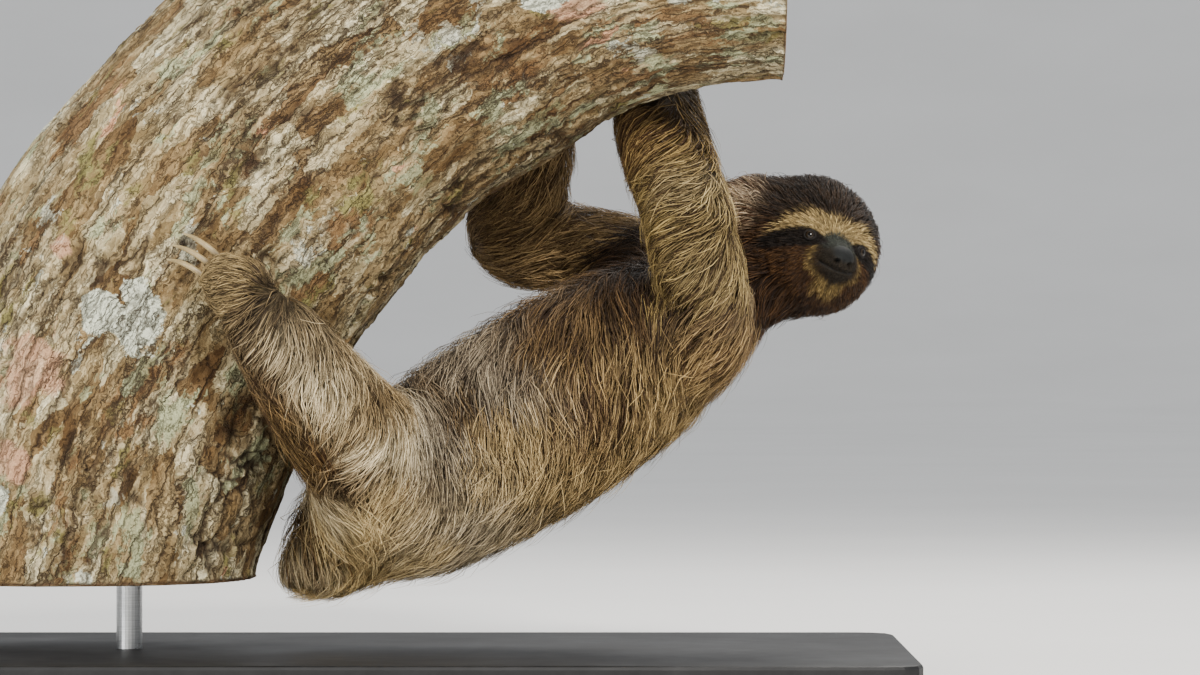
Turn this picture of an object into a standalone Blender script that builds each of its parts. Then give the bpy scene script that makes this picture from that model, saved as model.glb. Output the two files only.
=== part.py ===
"""Life-size museum model of a brown-throated three-toed sloth.

The sloth hangs belly-up from a short bent length of bough, its head turned upright to look
out to the side. Two short steel rods carry the bough on a flat base.

Metres, +Z up, +X from rump to head, +Y away from the side that is shown. The origin is the
middle of the base's underside. "near" parts are on the -Y side and "far" parts on the +Y side.
The fleshy solids reach to the tips of the coat. The body is modelled whole, smoothed, and then
parted with thin cuts. Where it presses on the bough, it is trimmed to the bough's surface.
"""

import math

import bmesh
import bpy
from mathutils import Matrix, Vector, noise
from mathutils.bvhtree import BVHTree

# ---- Driving dimensions ----------------------------------------------------------------

GAP = 0.0004  # clearance between solids that touch
CUT = 0.0010  # width of the cuts that part the body
VOXEL = 0.0048  # grain of the smoothed body
FINE_VOXEL = 0.0026  # grain of each part before it is thinned out

BASE_SIZE = Vector((0.820, 0.440, 0.022))
BASE_CORNER = 0.030
BASE_EDGE = 0.003
ROD_RADIUS = 0.010
ROD_SPREAD = 0.120  # between the rods' axes
ROD_IN_BASE = 0.012
ROD_IN_BOUGH = 0.030
BOUGH_FOOT = 0.075  # height of the sawn lower end
BOUGH_TIP = 0.312  # where the upper end is sawn
BOUGH_DEPTH = 0.867  # depth of the bough's section over its height

# The bough's centre line, with the radius of its section in the plane of the bend.
BOUGH = [
    (Vector((-0.292, 0.000, -0.060)), 0.154),
    (Vector((-0.249, 0.000, 0.072)), 0.152),
    (Vector((-0.192, 0.000, 0.238)), 0.150),
    (Vector((-0.069, -0.010, 0.413)), 0.145),
    (Vector((0.074, -0.030, 0.517)), 0.135),
    (Vector((0.169, -0.050, 0.556)), 0.127),
    (Vector((0.320, -0.070, 0.571)), 0.115),
    (Vector((0.420, -0.080, 0.572)), 0.108),
]

# The trunk from rump to throat: centre and radius to the tips of the coat.
TRUNK = [
    (Vector((-0.025, 0.015, 0.111)), 0.048),
    (Vector((0.017, 0.015, 0.138)), 0.074),
    (Vector((0.064, 0.018, 0.169)), 0.083),
    (Vector((0.113, 0.020, 0.199)), 0.086),
    (Vector((0.162, 0.025, 0.229)), 0.083),
    (Vector((0.209, 0.030, 0.258)), 0.075),
    (Vector((0.248, 0.038, 0.280)), 0.059),
    (Vector((0.274, 0.048, 0.306)), 0.048),
    (Vector((0.302, 0.056, 0.328)), 0.049),
]
NAPE = (Vector((0.293, 0.056, 0.345)), 0.047)  # the ruff behind the crown
THROAT = (Vector((0.318, 0.034, 0.306)), 0.036)
TAIL = [(Vector((-0.036, 0.015, 0.104)), 0.027), (Vector((-0.062, 0.013, 0.078)), 0.016)]

# Limb joints and the coat's radius round each.
ARM_NEAR = [
    (Vector((0.244, -0.014, 0.262)), 0.046),
    (Vector((0.256, -0.038, 0.286)), 0.040),
    (Vector((0.247, -0.046, 0.322)), 0.038),
    (Vector((0.236, -0.034, 0.372)), 0.038),
    (Vector((0.221, -0.002, 0.416)), 0.039),
    (Vector((0.216, 0.044, 0.462)), 0.034),
    (Vector((0.214, 0.078, 0.532)), 0.026),
]
ARM_FAR = [
    (Vector((0.222, 0.070, 0.284)), 0.047),
    (Vector((0.203, 0.103, 0.315)), 0.042),
    (Vector((0.160, 0.124, 0.332)), 0.037),
    (Vector((0.106, 0.124, 0.342)), 0.039),
    (Vector((0.119, 0.108, 0.396)), 0.036),
    (Vector((0.137, 0.098, 0.474)), 0.026),
]
LEG_NEAR = [
    (Vector((0.012, -0.018, 0.152)), 0.062),
    (Vector((-0.002, -0.044, 0.170)), 0.057),
    (Vector((-0.034, -0.092, 0.212)), 0.047),
    (Vector((-0.061, -0.130, 0.252)), 0.040),
    (Vector((-0.079, -0.146, 0.278)), 0.033),
    (Vector((-0.094, -0.153, 0.298)), 0.0255),
]
LEG_FAR = [
    (Vector((0.012, 0.046, 0.152)), 0.060),
    (Vector((-0.004, 0.070, 0.168)), 0.054),
    (Vector((-0.036, 0.112, 0.206)), 0.045),
    (Vector((-0.062, 0.146, 0.246)), 0.037),
    (Vector((-0.084, 0.160, 0.281)), 0.031),
    (Vector((-0.095, 0.160, 0.303)), 0.0255),
]
# Hands and feet: the palm's path beyond the wrist or ankle.
HAND_NEAR = [(Vector((0.214, 0.078, 0.532)), 0.025), (Vector((0.215, 0.068, 0.590)), 0.021)]
HAND_FAR = [(Vector((0.137, 0.098, 0.474)), 0.025), (Vector((0.150, 0.090, 0.532)), 0.021)]
FOOT_NEAR = [(Vector((-0.094, -0.153, 0.298)), 0.0245), (Vector((-0.104, -0.150, 0.3055)), 0.0215)]
FOOT_FAR = [(Vector((-0.095, 0.160, 0.303)), 0.0245), (Vector((-0.104, 0.154, 0.317)), 0.0215)]

# The head's own frame: l to the viewer's right, u up, f out of the face.
HEAD_CENTRE = Vector((0.3374, 0.050, 0.3300))
HEAD_YAW = math.radians(27)  # turned towards +X from -Y
HEAD_PITCH = math.radians(12)
HEAD_ROLL = math.radians(17)
CROWN = (Vector((0.0018, 0.0068, -0.006)), Vector((0.0598, 0.0580, 0.0500)))
JAW = (Vector((0.0, -0.021, 0.004)), Vector((0.0460, 0.0350, 0.0450)))
CHEEK = (Vector((0.024, -0.016, 0.016)), Vector((0.0230, 0.0220, 0.0250)))
MUZZLE = (Vector((0.0, -0.0215, 0.0440)), Vector((0.0195, 0.0175, 0.0215)))
NOSE = (Vector((0.0, -0.0180, 0.0610)), Vector((0.0085, 0.0065, 0.0065)))
EYE_PLACE = Vector((0.0215, -0.0055, 0.0385))
EYE_RADIUS = 0.0056

# Three claws on each hand and foot.
HAND_CLAW = {"length": 0.074, "root": 0.0036, "spacing": 0.0105, "arch": 0.24}
FOOT_CLAW = {"length": 0.044, "root": 0.0029, "spacing": 0.0088, "arch": 0.16}
CLAW_TAPER = (1.0, 1.0, 0.86, 0.64, 0.25)
CLAW_RISE = Vector((0.0, 0.0, 0.45))  # how far the arch leans upward
CLAW_IN_FLESH = 0.010  # how far a claw's root sits inside the toe
CLAW_OFF_BARK = 0.0012

SLEEVE_ROOM = 0.006  # slack in the sleeves that part a limb from the body
SLEEVE_BLOCK = 0.24  # side of the block that cuts a sleeve off flat
KNIFE_RADIUS = 0.062  # reach of the cuts across a limb

# Triangles kept in each fleshy piece.
DETAIL = {"head": 1650, "trunk": 1000, "neck": 260, "tail": 100}
LIMB_DETAIL = 220
PAW_DETAIL = 160


# ---- Scene helpers ---------------------------------------------------------------------


def clear_scene():
    for obj in list(bpy.data.objects):
        bpy.data.objects.remove(obj)


def collection(name):
    made = bpy.data.collections.new(name)
    bpy.context.scene.collection.children.link(made)
    return made


def material(name, colour, roughness, metallic=0.0):
    made = bpy.data.materials.new(name)
    made.use_nodes = True
    shader = made.node_tree.nodes["Principled BSDF"]
    shader.inputs["Base Color"].default_value = (*colour, 1.0)
    shader.inputs["Roughness"].default_value = roughness
    shader.inputs["Metallic"].default_value = metallic
    return made


def islands(bm):
    """The separate closed surfaces of a bmesh, as lists of faces."""
    left, found = set(bm.faces), []
    while left:
        todo = [left.pop()]
        island = []
        while todo:
            face = todo.pop()
            island.append(face)
            for edge in face.edges:
                for other in edge.link_faces:
                    if other in left:
                        left.remove(other)
                        todo.append(other)
        found.append(island)
    return found


def face_out(bm):
    """Turns every separate surface to face out."""
    bmesh.ops.recalc_face_normals(bm, faces=bm.faces)
    for faces in islands(bm):
        volume = sum(f.calc_center_median().dot(f.normal) * f.calc_area() for f in faces)
        if volume < 0:
            bmesh.ops.reverse_faces(bm, faces=faces)


def object_of(name, bm, home):
    """A new object that holds this bmesh, its faces pointing out."""
    face_out(bm)
    mesh = bpy.data.meshes.new(name)
    bm.to_mesh(mesh)
    bm.free()
    obj = bpy.data.objects.new(name, mesh)
    home.objects.link(obj)
    return obj


def as_cutter(obj):
    obj.hide_render = True
    obj.display_type = "WIRE"
    return obj


def evaluated(obj):
    """The object's mesh with its modifiers applied."""
    graph = bpy.context.evaluated_depsgraph_get()
    return bpy.data.meshes.new_from_object(obj.evaluated_get(graph))


def apply_modifiers(obj):
    mesh = evaluated(obj)
    obj.modifiers.clear()
    obj.data = mesh
    return obj


def boolean(obj, cutter, operation="DIFFERENCE"):
    """Cuts obj by cutter at once."""
    modifier = obj.modifiers.new("cut", "BOOLEAN")
    modifier.operation = operation
    modifier.solver = "MANIFOLD"
    modifier.object = cutter
    return apply_modifiers(obj)


def triangulated(obj):
    bm = bmesh.new()
    bm.from_mesh(obj.data)
    bmesh.ops.triangulate(bm, faces=bm.faces)
    bm.to_mesh(obj.data)
    bm.free()
    return obj


def paint(obj, surface, angle=50):
    obj.data.materials.clear()
    obj.data.materials.append(surface)
    obj.data.shade_smooth()
    obj.data.set_sharp_from_angle(angle=math.radians(angle))


# ---- Primitive shapes ------------------------------------------------------------------


def ball(name, home, centre, radii, turn=None, segments=24):
    """An ellipsoid. turn is the matrix of its own axes."""
    bm = bmesh.new()
    bmesh.ops.create_uvsphere(bm, u_segments=segments, v_segments=segments * 2 // 3, radius=1.0)
    scale = Matrix.Diagonal((*radii, 1.0))
    frame = turn.to_4x4() if turn else Matrix.Identity(4)
    bm.transform(Matrix.Translation(centre) @ frame @ scale)
    return object_of(name, bm, home)


def tube(name, home, stations, sides=4, steps=6):
    """A closed tube of round section through (centre, radius) stations, as a mesh."""
    curve = bpy.data.curves.new(name, "CURVE")
    curve.dimensions = "3D"
    curve.bevel_depth = 1.0
    curve.bevel_resolution = sides
    curve.resolution_u = steps
    curve.use_fill_caps = True
    spline = curve.splines.new("BEZIER")
    spline.bezier_points.add(len(stations) - 1)
    for point, (centre, radius) in zip(spline.bezier_points, stations):
        point.co = centre
        point.radius = radius
        point.handle_left_type = point.handle_right_type = "AUTO"
    guide = bpy.data.objects.new(name, curve)
    home.objects.link(guide)
    mesh = evaluated(guide)
    bpy.data.objects.remove(guide)
    bm = bmesh.new()
    bm.from_mesh(mesh)
    bmesh.ops.remove_doubles(bm, verts=bm.verts, dist=1e-5)
    return object_of(name, bm, home)


def rounded_box(name, home, size, corner, edge):
    """A flat slab standing on z = 0, with round corners and softened edges."""
    bm = bmesh.new()
    bmesh.ops.create_cube(bm, size=1.0)
    bm.transform(Matrix.Translation((0, 0, size.z / 2)) @ Matrix.Diagonal((*size, 1.0)))
    upright = [e for e in bm.edges if abs(e.verts[0].co.z - e.verts[1].co.z) > size.z / 2]
    bmesh.ops.bevel(bm, geom=upright, offset=corner, segments=3, affect="EDGES", profile=0.5)
    rim = [e for e in bm.edges if all(v.co.z > size.z * 0.99 for v in e.verts)]
    bmesh.ops.bevel(bm, geom=rim, offset=edge, segments=2, affect="EDGES", profile=0.5)
    return object_of(name, bm, home)


def cylinder(name, home, foot, radius, height, sides=24):
    bm = bmesh.new()
    place = Matrix.Translation(foot + Vector((0, 0, height / 2)))
    bmesh.ops.create_cone(
        bm, cap_ends=True, segments=sides, radius1=radius, radius2=radius, depth=height, matrix=place
    )
    return object_of(name, bm, home)


def disc(name, home, centre, normal, radius):
    """A thin cutter across a limb."""
    bm = bmesh.new()
    turn = normal.to_track_quat("Z", "Y").to_matrix().to_4x4()
    bmesh.ops.create_cone(
        bm,
        cap_ends=True,
        segments=28,
        radius1=radius,
        radius2=radius,
        depth=CUT,
        matrix=Matrix.Translation(centre) @ turn,
    )
    return object_of(name, bm, home)


# ---- The bough -------------------------------------------------------------------------


def make_bough(home, cutters):
    """A bent limb of oval section with slow swellings, sawn flat at both ends."""
    squeezed = [(Vector((c.x, c.y / BOUGH_DEPTH, c.z)), r) for c, r in BOUGH]
    bough = tube("perch", home, squeezed, sides=8, steps=4)
    bough.data.transform(Matrix.Diagonal((1.0, BOUGH_DEPTH, 1.0, 1.0)))
    for vertex, normal in zip(bough.data.vertices, [v.normal.copy() for v in bough.data.vertices]):
        swell = 0.009 * noise.noise(vertex.co * 6.5) + 0.004 * noise.noise(vertex.co * 17.0)
        vertex.co += normal * swell
    sawn = []
    for name, middle in (
        ("saw_foot", Vector((BOUGH[1][0].x, 0, BOUGH_FOOT - 0.5))),
        ("saw_tip", Vector((BOUGH_TIP + 0.5, 0, 0.5))),
    ):
        bm = bmesh.new()
        bmesh.ops.create_cube(bm, size=1.0)
        bm.transform(Matrix.Translation(middle))
        sawn.append(as_cutter(object_of(name, bm, cutters)))
    for saw in sawn:
        boolean(bough, saw)
    return triangulated(bough)


def grown(obj, by, name, home):
    """A copy of obj with its surface moved out by this much, to cut neighbours with."""
    copy = bpy.data.objects.new(name, obj.data.copy())
    home.objects.link(copy)
    normals = [v.normal.copy() for v in copy.data.vertices]
    for vertex, normal in zip(copy.data.vertices, normals):
        vertex.co += normal * by
    return as_cutter(copy)


# ---- The body --------------------------------------------------------------------------


def head_axes():
    """Columns are the head's l, u and f axes."""
    forward = Vector((math.sin(HEAD_YAW), -math.cos(HEAD_YAW), 0))
    side = Vector((math.cos(HEAD_YAW), math.sin(HEAD_YAW), 0))
    up = Vector((0, 0, 1))
    nod = Matrix.Rotation(-HEAD_PITCH, 3, side)
    forward, up = nod @ forward, nod @ up
    tilt = Matrix.Rotation(-HEAD_ROLL, 3, forward)
    side, up = tilt @ side, tilt @ up
    return Matrix((side, up, forward)).transposed()


def in_head(place):
    return HEAD_CENTRE + head_axes() @ place


def mirrored(place):
    return Vector((-place.x, place.y, place.z))


def head_shapes(home):
    axes = head_axes()
    shapes = {"crown": CROWN, "jaw": JAW, "muzzle": MUZZLE, "nose": NOSE, "cheek_right": CHEEK}
    shapes["cheek_left"] = (mirrored(CHEEK[0]), CHEEK[1])
    shapes = [ball(name, home, in_head(c), r, axes) for name, (c, r) in shapes.items()]
    ruff = [("nape", *NAPE), ("throat", *THROAT)]
    return shapes + [ball(name, home, centre, [radius] * 3) for name, centre, radius in ruff]


def soft_chain(name, home, stations):
    """A tube with a ball on each end, so that no end is flat."""
    ends = [ball(f"{name}_end", home, stations[i][0], [stations[i][1]] * 3) for i in (0, -1)]
    return [tube(name, home, stations), *ends]


def join(objects, name):
    """One object from many."""
    bm = bmesh.new()
    for obj in objects:
        bm.from_mesh(obj.data)
    home = objects[0].users_collection[0]
    for obj in objects:
        bpy.data.objects.remove(obj)
    return object_of(name, bm, home)


def make_body(home):
    """The whole animal as one smooth closed surface."""
    chains = {
        "trunk": TRUNK,
        "tail": TAIL,
        "arm_near": ARM_NEAR,
        "arm_far": ARM_FAR,
        "leg_near": LEG_NEAR,
        "leg_far": LEG_FAR,
        "hand_near": HAND_NEAR,
        "hand_far": HAND_FAR,
        "foot_near": FOOT_NEAR,
        "foot_far": FOOT_FAR,
    }
    shapes = head_shapes(home)
    for name, stations in chains.items():
        shapes += soft_chain(name, home, stations)
    body = join(shapes, "body")
    remesh = body.modifiers.new("skin", "REMESH")
    remesh.mode = "VOXEL"
    remesh.voxel_size = VOXEL
    smooth = body.modifiers.new("smooth", "SMOOTH")
    smooth.factor = 0.5
    smooth.iterations = 7
    return apply_modifiers(body)


def between(stations, first, share):
    """The point this share of the way from one station to the next, and the way along."""
    a, b = stations[first][0], stations[first + 1][0]
    return a.lerp(b, share), (b - a).normalized()


def bend(stations, at):
    """A joint's centre, and the normal of the plane that halves its bend."""
    before, here, after = (stations[at + k][0] for k in (-1, 0, 1))
    return here, ((here - before).normalized() + (after - here).normalized()).normalized()


def sleeve(name, home, stations, first, share, paw, grow):
    """A loose sleeve round a limb, cut flat where the limb leaves the body."""
    start = stations[first][0].lerp(stations[first + 1][0], share)
    along = (stations[first + 1][0] - start).normalized()
    room = SLEEVE_ROOM + grow
    path = [(c, r + room) for c, r in [*stations[first:], paw[1]]]
    whole = join(soft_chain(name, home, path), name)
    remesh = whole.modifiers.new("round", "REMESH")
    remesh.mode = "VOXEL"
    remesh.voxel_size = VOXEL
    apply_modifiers(whole)
    bm = bmesh.new()
    bmesh.ops.create_cube(bm, size=SLEEVE_BLOCK)
    turn = along.to_track_quat("Z", "Y").to_matrix().to_4x4()
    bm.transform(Matrix.Translation(start - along * (SLEEVE_BLOCK / 2 + grow)) @ turn)
    boolean(whole, as_cutter(object_of(f"{name}_start", bm, home)))
    return as_cutter(whole)


def limbs():
    """Each limb's pieces: (names, stations, where it leaves the body, paw, inner cuts)."""
    return [
        (
            ("upper_arm_near", "forearm_near", "hand_near"),
            (ARM_NEAR, 1, 0.60, HAND_NEAR),
            (bend(ARM_NEAR, 4), between(ARM_NEAR, 5, 0.90)),
        ),
        (
            ("upper_arm_far", "forearm_far", "hand_far"),
            (ARM_FAR, 0, 0.90, HAND_FAR),
            (bend(ARM_FAR, 3), between(ARM_FAR, 4, 0.90)),
        ),
        (
            ("thigh_near", "shank_near", "foot_near"),
            (LEG_NEAR, 1, 0.35, FOOT_NEAR),
            (bend(LEG_NEAR, 3), between(LEG_NEAR, 4, 0.70)),
        ),
        (
            ("thigh_far", "shank_far", "foot_far"),
            (LEG_FAR, 1, 0.35, FOOT_FAR),
            (bend(LEG_FAR, 3), between(LEG_FAR, 4, 0.70)),
        ),
    ]


def body_cuts():
    """Where the limbless body is parted: (centre, normal, radius)."""
    return [
        (Vector((0.303, 0.050, 0.312)), Vector((0.80, 0.10, 0.60)).normalized(), 0.100),
        (between(TRUNK, 6, 0.92)[0], Vector((0.72, 0.16, 0.67)).normalized(), 0.110),
        (TAIL[0][0].lerp(TAIL[1][0], 0.62), (TAIL[1][0] - TAIL[0][0]).normalized(), 0.036),
    ]


def body_names():
    """A point inside each piece of the limbless body, to name it by."""
    return {
        "head": in_head(Vector((0, 0, 0.01))),
        "neck": between(TRUNK, 7, 0.2)[0],
        "trunk": TRUNK[3][0],
        "tail": TAIL[1][0],
    }


def split(obj):
    """The separate closed surfaces of an object, each as a bmesh. The object is removed."""
    bm = bmesh.new()
    bm.from_mesh(obj.data)
    bpy.data.objects.remove(obj)
    pieces = []
    for faces in islands(bm):
        kept = {v.index for f in faces for v in f.verts}
        piece = bm.copy()
        bmesh.ops.delete(piece, geom=[v for v in piece.verts if v.index not in kept], context="VERTS")
        pieces.append(piece)
    bm.free()
    return pieces


def name_pieces(pieces, names, home):
    """{name: object}, each name going to the piece that has its point inside."""
    named = {}
    for name, inside in names.items():
        holding = [p for p in pieces if holds(p, inside)]
        if not holding:
            raise ValueError(f"no piece holds the middle of {name}")
        pieces.remove(holding[0])
        named[name] = object_of(name, holding[0], home)
    return named


def part_body(body, home, cutters):
    """Parts the body at its joints and returns {name: object}."""
    named = {}
    for names, (stations, first, share, paw), inner in limbs():
        limb = bpy.data.objects.new(names[0] + "_whole", body.data.copy())
        home.objects.link(limb)
        boolean(limb, sleeve(names[0] + "_sleeve", cutters, stations, first, share, paw, 0.0), "INTERSECT")
        boolean(body, sleeve(names[0] + "_room", cutters, stations, first, share, paw, CUT))
        for number, (centre, normal) in enumerate(inner, 1):
            knife = disc(f"{names[0]}_cut_{number}", cutters, centre, normal, KNIFE_RADIUS)
            boolean(limb, as_cutter(knife))
        middles = (inner[0][0].lerp(stations[first + 1][0], 0.5), inner[1][0].lerp(inner[0][0], 0.5), paw[1][0])
        named |= name_pieces(split(limb), dict(zip(names, middles)), home)
    for number, (centre, normal, radius) in enumerate(body_cuts()):
        boolean(body, as_cutter(disc(f"cut_{number:02d}", cutters, centre, normal, radius)))
    return named | name_pieces(split(body), body_names(), home)


def holds(bm, point):
    """True if the closed surface has this point inside, by counting crossings along +X."""
    tree = BVHTree.FromBMesh(bm)
    direction, crossings, start = Vector((1.0, 0.0013, 0.0007)), 0, point.copy()
    for _ in range(64):
        hit, _, _, distance = tree.ray_cast(start, direction)
        if hit is None:
            break
        crossings += 1
        start = hit + direction.normalized() * 1e-6
    return crossings % 2 == 1


def simplify(obj, triangles):
    """Smooths off the slivers that cutting leaves, then thins the surface out."""
    remesh = obj.modifiers.new("even", "REMESH")
    remesh.mode = "VOXEL"
    remesh.voxel_size = FINE_VOXEL
    apply_modifiers(obj)
    decimate = obj.modifiers.new("simplify", "DECIMATE")
    decimate.use_collapse_triangulate = True
    decimate.ratio = min(1.0, triangles / (2 * len(obj.data.polygons)))
    return apply_modifiers(obj)


NEIGHBOURS = [
    ("trunk", ("upper_arm_near", "upper_arm_far", "thigh_near", "thigh_far", "tail")),
    ("neck", ("upper_arm_near", "upper_arm_far", "trunk", "head")),
    ("upper_arm_near", ("forearm_near",)),
    ("forearm_near", ("hand_near",)),
    ("upper_arm_far", ("forearm_far",)),
    ("forearm_far", ("hand_far",)),
    ("thigh_near", ("shank_near",)),
    ("shank_near", ("foot_near",)),
    ("thigh_far", ("shank_far",)),
    ("shank_far", ("foot_far",)),
]


def clear_neighbours(pieces, cutters):
    """Trims each part back from the parts that it meets."""
    for name, others in NEIGHBOURS:
        for other in others:
            room = grown(pieces[other], GAP, f"{other}_room_in_{name}", cutters)
            boolean(pieces[name], room)


def detail_of(name):
    paw = name.startswith(("hand", "foot"))
    return DETAIL.get(name, PAW_DETAIL if paw else LIMB_DETAIL)


# ---- Eyes and claws --------------------------------------------------------------------


def make_eyes(home, cutters, head):
    eyes = {}
    for name, place in (("eye_right", mirrored(EYE_PLACE)), ("eye_left", EYE_PLACE)):
        centre = in_head(place)
        eyes[name] = ball(name, home, centre, [EYE_RADIUS] * 3, head_axes(), 12)
        room = ball(f"{name}_socket", cutters, centre, [EYE_RADIUS + GAP] * 3, head_axes(), 12)
        boolean(head, as_cutter(room))
    return eyes


def claw_path(root, tip, bulge):
    """A hooked arc from root to tip that bulges out, as five points."""
    return [root.lerp(tip, t) + bulge * math.sin(math.pi * t) for t in (0.0, 0.25, 0.5, 0.75, 1.0)]


def make_claws(home, cutters, paw, paw_path, bark, kind, name, reach):
    """Three curved claws from the paw's end to the bark, each rooted in a socket in the paw."""
    start, end = paw_path[0][0], paw_path[1][0]
    along = (end - start).normalized()
    away = (end - bark.find_nearest(end)[0]).normalized()
    across = along.cross(away).normalized()
    lead = along * (paw_path[1][1] * 0.92 - CLAW_IN_FLESH)
    claws = {}
    for number, side in enumerate((-1, 0, 1), 1):
        root = end + across * side * kind["spacing"] + lead * (1.0 if side == 0 else 0.86)
        aim = root + reach.normalized() * kind["length"] + across * side * kind["spacing"] * 0.25
        touch = bark.find_nearest(aim)
        tip = touch[0] + touch[1] * (kind["root"] * CLAW_TAPER[-1] + CLAW_OFF_BARK)
        path = claw_path(root, tip, (away + CLAW_RISE).normalized() * kind["length"] * kind["arch"])
        stations = [(p, kind["root"] * share) for p, share in zip(path, CLAW_TAPER)]
        node = f"claw_{name}_{number}"
        claws[node] = tube(node, home, stations, sides=1, steps=2)
        room = tube(f"{node}_socket", cutters, [(p, r + GAP) for p, r in stations], sides=1, steps=2)
        boolean(paw, as_cutter(room))
    return claws


# ---- Stand -----------------------------------------------------------------------------


def make_stand(home, cutters, bough):
    """A flat base with two upright rods let into the bough's sawn foot."""
    base = rounded_box("stand_base", home, BASE_SIZE, BASE_CORNER, BASE_EDGE)
    middle = BOUGH[1][0].x
    rods = {}
    for number, side in enumerate((-1, 1), 1):
        foot = Vector((middle + side * ROD_SPREAD / 2, 0, BASE_SIZE.z - ROD_IN_BASE))
        height = BOUGH_FOOT + ROD_IN_BOUGH - foot.z
        name = f"stand_rod_{number}"
        rods[name] = cylinder(name, home, foot, ROD_RADIUS, height)
        below = foot - Vector((0, 0, GAP))
        hole = cylinder(f"{name}_hole", cutters, below, ROD_RADIUS + GAP, height + 2 * GAP)
        as_cutter(hole)
        boolean(base, hole)
        boolean(bough, hole)
    return {"stand_base": base, **rods}


# ---- Build -----------------------------------------------------------------------------


def main():
    clear_scene()
    home = collection("three_toed_sloth")
    cutters = collection("cutters")
    coat = material("coat", (0.27, 0.20, 0.13), 0.85)
    dark_coat = material("dark_coat", (0.10, 0.065, 0.04), 0.85)
    horn = material("claw_horn", (0.62, 0.52, 0.36), 0.40)
    glassy = material("eye", (0.02, 0.012, 0.008), 0.10)
    bark_look = material("bark", (0.33, 0.26, 0.19), 0.90)
    steel = material("rod_steel", (0.35, 0.35, 0.36), 0.35, 1.0)
    board = material("base_board", (0.05, 0.05, 0.05), 0.45)

    bough = make_bough(home, cutters)
    bark = BVHTree.FromObject(bough, bpy.context.evaluated_depsgraph_get())
    bark_room = grown(bough, GAP * 2, "bark_room", cutters)

    pieces = part_body(make_body(home), home, cutters)
    for name, piece in pieces.items():
        simplify(piece, detail_of(name))
    clear_neighbours(pieces, cutters)
    for piece in pieces.values():
        boolean(piece, bark_room)
    eyes = make_eyes(home, cutters, pieces["head"])

    up_and_over = Vector((0.02, -0.55, 0.60))
    claws = {}
    for name, path, kind, reach in (
        ("hand_near", HAND_NEAR, HAND_CLAW, up_and_over),
        ("hand_far", HAND_FAR, HAND_CLAW, up_and_over),
        ("foot_near", FOOT_NEAR, FOOT_CLAW, Vector((-0.74, 0.48, 0.42))),
        ("foot_far", FOOT_FAR, FOOT_CLAW, Vector((-0.62, -0.52, 0.55))),
    ):
        claws |= make_claws(home, cutters, pieces[name], path, bark, kind, name, reach)
    for claw in claws.values():
        boolean(claw, bark_room)

    stand = make_stand(home, cutters, bough)

    for name, piece in pieces.items():
        paint(piece, dark_coat if name == "head" else coat)
    for eye in eyes.values():
        paint(eye, glassy)
    for claw in claws.values():
        paint(claw, horn)
    paint(bough, bark_look)
    for name, piece in stand.items():
        paint(piece, board if name == "stand_base" else steel, 35)


main()
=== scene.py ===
"""The looks of the life-size three-toed sloth that hangs from a cut bough.

One skin stands for all the fleshy nodes and lies inside them by the depth of the coat. The
coat is solid mesh: thin pointed locks that start on the skin, rise to the nodes' surface and
lie along the body. The face is modelled on the skin. The bough gets bark, the claws and eyes
get finer copies, and the stand keeps its nodes and gets its finish.

Metres, +Z up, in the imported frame. The sloth's head points to +X and the camera looks along
+Y. "near" parts are on the camera's side. In the head's own frame a point is (l, u, f): l to
the viewer's right, u up the face and f out of it.
"""

import math

import bmesh
import bpy
import numpy as np
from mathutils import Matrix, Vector
from mathutils.bvhtree import BVHTree
from mathutils.kdtree import KDTree


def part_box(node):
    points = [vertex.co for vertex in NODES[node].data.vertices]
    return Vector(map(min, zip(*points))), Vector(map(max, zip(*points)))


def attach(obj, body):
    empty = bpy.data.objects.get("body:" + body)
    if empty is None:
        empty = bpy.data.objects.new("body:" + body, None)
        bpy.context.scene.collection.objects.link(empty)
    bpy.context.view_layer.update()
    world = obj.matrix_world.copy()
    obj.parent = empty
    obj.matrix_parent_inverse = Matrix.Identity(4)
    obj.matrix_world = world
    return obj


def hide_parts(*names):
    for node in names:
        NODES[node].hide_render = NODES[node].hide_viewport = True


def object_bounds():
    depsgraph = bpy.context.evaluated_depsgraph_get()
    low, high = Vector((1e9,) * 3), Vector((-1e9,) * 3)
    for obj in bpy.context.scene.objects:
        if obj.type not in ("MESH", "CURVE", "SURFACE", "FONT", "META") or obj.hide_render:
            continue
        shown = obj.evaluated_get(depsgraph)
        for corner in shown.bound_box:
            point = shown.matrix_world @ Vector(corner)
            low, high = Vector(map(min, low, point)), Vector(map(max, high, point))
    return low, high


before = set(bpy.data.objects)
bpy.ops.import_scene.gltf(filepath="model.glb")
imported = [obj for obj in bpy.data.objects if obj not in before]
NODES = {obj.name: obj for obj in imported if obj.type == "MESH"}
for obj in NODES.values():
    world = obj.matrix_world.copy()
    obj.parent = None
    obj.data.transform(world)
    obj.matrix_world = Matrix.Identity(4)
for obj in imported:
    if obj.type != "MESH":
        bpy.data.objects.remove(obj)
CAD_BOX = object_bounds()

# ---- Named sizes -----------------------------------------------------------------------

MM = 0.001
SKIN_GRAIN = 3.3 * MM  # spacing of the skin's points before the face is made finer
PUFF = 1.2 * MM  # how far the nodes are swollen so that they close into one skin
BARK_GRAIN = 3.35 * MM  # spacing of the bough's points

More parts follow.
